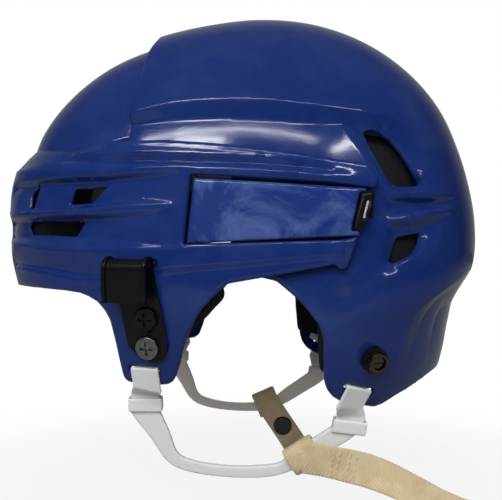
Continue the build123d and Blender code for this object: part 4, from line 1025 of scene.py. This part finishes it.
webParts = []
for middle, along, up, out, width in wraps:
    middle, along, up, out = (np.array(v) for v in (middle, along, up, out))
    half, deep = (size + strap["room"] + strap["half"] for size in (width / 2, strap["loop"]))
    turns = np.linspace(0, 2 * np.pi, strap["wrapPoints"], endpoint=False)
    square = strap["wrapRound"]
    ring = [middle + up * half * np.sign(math.cos(a)) * abs(math.cos(a)) ** square[0]
            + out * deep * np.sign(math.sin(a)) * abs(math.sin(a)) ** square[1] for a in turns]
    webParts.append(ribbonParts(np.array(ring), np.repeat(along[None], len(ring), axis=0), closed=True)[:2])
runPoints, runWays = smoothRun(strapRun, strap["step"], strap["bend"])
webParts.append(ribbonParts(runPoints, runWays)[:2])
tailPoints, tailWays = smoothRun(strapTail, strap["step"], strap["tailBend"])
tailVerts, tailFaces, tailAcross, tailUp = ribbonParts(tailPoints, tailWays)
webParts.append((tailVerts, tailFaces))
web = newPiece("chin_strap_web", *joined(webParts), sharp=80)
fitted(web, webbing, "chin_strap_body", "chin_strap")

# two double rows of stitches beside the near loop, and the frayed end
sewn = {
    "rows": (14.0, 17.0, 22.0, 25.0), "across": (-6.6, 6.7, 2.9),
    "length": 2.3, "radius": 0.42, "lift": 0.22, "lean": 0.3, "bend": (-1, -0.6, 0, 0.6, 1),
}
frayed = {
    "threads": 46, "radius": 0.16, "sides": 4, "points": 6,
    "across": 7.6, "deep": 0.4, "length": (2, 5),
    "spread": 0.25, "lift": 0.3, "curl": 0.35, "reach": 4,
}
rng = np.random.default_rng(7)
sewing = []
for row in sewn["rows"]:
    at = round(row / strap["step"])
    onward = (tailPoints[at + 1] - tailPoints[at]) / strap["step"]
    out = strap["thickness"] / 2 + sewn["lift"]
    for offset in np.arange(*sewn["across"]):
        for face in (1, -1):
            base = tailPoints[at] + tailUp[at] * face * out + tailAcross[at] * offset
            lean = onward * rng.uniform(-sewn["lean"], sewn["lean"])
            ends = [base + (tailAcross[at] + lean) * k * sewn["length"] / 2 for k in sewn["bend"]]
            sewing.append(tubePart(ends, sewn["radius"]))
onward = (tailPoints[-1] - tailPoints[-4]) / (3 * strap["step"])
for _ in range(frayed["threads"]):
    base = tailPoints[-1] + tailAcross[-1] * rng.uniform(-frayed["across"], frayed["across"])
    base = base + tailUp[-1] * rng.uniform(-frayed["deep"], frayed["deep"])
    way = onward + tailAcross[-1] * rng.normal(0, frayed["spread"])
    way = way + tailUp[-1] * rng.normal(0, frayed["lift"])
    curl = np.array(rng.normal(0, frayed["curl"], 3))
    along = np.linspace(-1, rng.uniform(*frayed["length"]), frayed["points"])
    hair = [base + way * t + curl * (t / frayed["reach"]) ** 2 for t in along]
    sewing.append(tubePart(hair, frayed["radius"], frayed["sides"]))
seams = newPiece("chin_strap_threads", *joined(sewing))
fitted(seams, thread, "chin_strap_body")

print("pads")
foamCut = {
    "voxel": 2.2, "factor": 0.5, "rounds": 6,
    "middle": (0, 0, 40),               # the pads' backs face away from here
    "edge": (2.5, 0.2),                 # how fast the sink fades round a pad's edge
    "fill": 0.8,
    # how far each pad is sunk, mm, to clear the recesses of the shell
    "front": {"forehead_pad": 2.6, "dome_pad": 0, "left_temple_pad": 1.2, "right_temple_pad": 1.2},
    "rear": {"crown_pad": 0, "nape_pad": 1, "left_side_pad": 3, "right_side_pad": 3,
             "left_lobe_pad": 0, "right_lobe_pad": 0},
}
ventFoam = {"level": -8.4, "wall": 3.0, "wider": 1.5}


def foamPad(node, body, sink):
    # a foam block cut and heat pressed, so that its edges roll over
    pad = bpy.data.objects.new(node + "_foam", nodes[node].data.copy())
    bpy.context.collection.objects.link(pad)
    softened(pad, foamCut["voxel"], foamCut["factor"], foamCut["rounds"])
    bpy.context.view_layer.update()
    shaped = bpy.data.meshes.new_from_object(pad.evaluated_get(bpy.context.evaluated_depsgraph_get()))
    pad.modifiers.clear()
    pad.data = shaped
    pad.data.shade_smooth()
    middle = Vector(foamCut["middle"]) * mm
    slope, start = foamCut["edge"]
    for vert in shaped.vertices:
        outward = (vert.co - middle).normalized()
        vert.co -= outward * sink * mm * max(0.0, min(1.0, slope * outward.dot(vert.normal) - start))
    fitted(pad, foam, body, node)


for end in ("front", "rear"):
    for node, sink in foamCut[end].items():
        foamPad(node, end + "_shell_body", sink)
# a foam strip that closes the lower rear vents from behind
ring = np.array(inMm(rearVents[1]))
wide = ring.mean(axis=0) + (ring - ring.mean(axis=0)) * ventFoam["wider"]
strip = sheetMesh(
    "rear_vent_foam", [tuple(p) for p in wide], [], {}, flatLevel(ventFoam["level"]), ventFoam["wall"])
fitted(strip, foam, "rear_shell_body")

for word in ("left_", "right_"):
    for ending in ("ear_loop", "front_hanger", "rear_hanger"):
        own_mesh(nodes[word + ending])

print("stage and light")
stage = {
    "floor": -0.092, "reach": 3.0,
    "pale": "#8e8e8c",
    "shade": 0.88,                      # share of pure white on the floor under the helmet
    "shadowReach": (0.12, 0.30),        # metres from the middle over which the floor fades to pure white
    "ambient": 0.03, "above": 0.10, "behind": 0.32,    # the room as gloss sees it
    "fill": 0.30,                       # even light from all round on matte surfaces
    "lamps": [
        # place, aim, size, watts, seen in gloss
        ((0.25, 0.98, 1.17), (0.1, 0.08, 0.1), (1.3, 0.04), 4.2, True),
        ((0.42, 1.04, 1.12), (0.1, 0.08, 0.1), (0.34, 0.08), 2.6, True),
        ((-0.66, 0.95, 1.02), (-0.04, 0.08, 0.1), (0.42, 0.06), 2.6, True),
        ((0.35, 1.35, 0.75), (0, 0, 0.03), (0.8, 0.8), 13.5, False),
        ((-0.35, -1.35, 0.75), (0, 0, 0.03), (0.8, 0.8), 11.0, False),
    ],
}


def seenDirectly(tree):
    # one for what the camera sees, also through glass
    path = addNode(tree, "LightPath")
    rays = [(path, "Is Camera Ray"), (path, "Is Transmission Ray")]
    return addNode(tree, "Math", {"operation": "MAXIMUM"}, *rays), "Value"


white = fromHex("#ffffff")
floorMesh = bpy.data.meshes.new("floor")
reach = stage["reach"]
corners = [(-reach, -reach, 0), (reach, -reach, 0), (reach, reach, 0), (-reach, reach, 0)]
floorMesh.from_pydata(corners, [], [(0, 1, 2, 3)])
floor = bpy.data.objects.new("floor", floorMesh)
bpy.context.collection.objects.link(floor)
floor.location.z = stage["floor"]
# matte white paper that fades to pure white away from the helmet
floorMaterial, tree, place = newMaterial("paper_white_matte")
paper = addNode(tree, "BsdfPrincipled", {"Base Color": fromHex(stage["pale"]), "Roughness": 0.9})
light = addNode(tree, "Emission", {"Color": white, "Strength": 1.0})
gap = addNode(tree, "VectorMath", {"operation": "LENGTH"}, place)
near, far = stage["shadowReach"]
share = addNode(tree, "MapRange", {
    "interpolation_type": "SMOOTHSTEP", "From Min": near, "From Max": far, "To Min": stage["shade"],
}, (gap, "Value"))
seen = addNode(tree, "Math", {"operation": "MULTIPLY"}, seenDirectly(tree), (share, "Result"))
mixed = addNode(tree, "MixShader", {}, (seen, "Value"), (paper, "BSDF"), (light, "Emission"))
addNode(tree, "OutputMaterial", {}, (mixed, "Shader"))
dress(floor, floorMaterial)

# a dim studio with a light ceiling and a light wall behind the helmet
world = bpy.data.worlds.new("studio")
bpy.context.scene.world = world
world.use_nodes = True
tree = world.node_tree
tree.nodes.clear()
way = addNode(tree, "TexCoord")
parts = addNode(tree, "SeparateXYZ", {}, (way, "Generated"))
above = addNode(tree, "MapRange", {"From Min": 0.2, "To Max": stage["above"]}, (parts, "Z"))
behind = addNode(tree, "MapRange", {
    "From Min": -0.5, "From Max": -1.0, "To Min": stage["ambient"], "To Max": stage["behind"],
}, (parts, "Y"))
level = addNode(tree, "Math", {"operation": "ADD"}, (above, "Result"), (behind, "Result"))
room = addNode(tree, "Background", {"Color": white}, Strength=(level, "Value"))
fill = addNode(tree, "Background", {"Color": white, "Strength": stage["fill"]})
bright = addNode(tree, "Background", {"Color": white, "Strength": 1.0})
path = addNode(tree, "LightPath")
dim = addNode(
    tree, "MixShader", {}, (path, "Is Diffuse Ray"), (room, "Background"), (fill, "Background"))
mixed = addNode(tree, "MixShader", {}, seenDirectly(tree), (dim, "Shader"), (bright, "Background"))
addNode(tree, "OutputWorld", {}, (mixed, "Shader"))

for index, (place, aim, size, watts, inGloss) in enumerate(stage["lamps"]):
    data = bpy.data.lights.new("softbox" + str(index), "AREA")
    data.shape = "RECTANGLE"
    data.size, data.size_y = size
    data.energy = watts
    lamp = bpy.data.objects.new("softbox" + str(index), data)
    bpy.context.collection.objects.link(lamp)
    lamp.location = place
    lamp.rotation_euler = (Vector(aim) - Vector(place)).to_track_quat("-Z", "Y").to_euler()
    lamp.visible_glossy = inGloss

bpy.context.scene.view_settings.view_transform = "Standard"
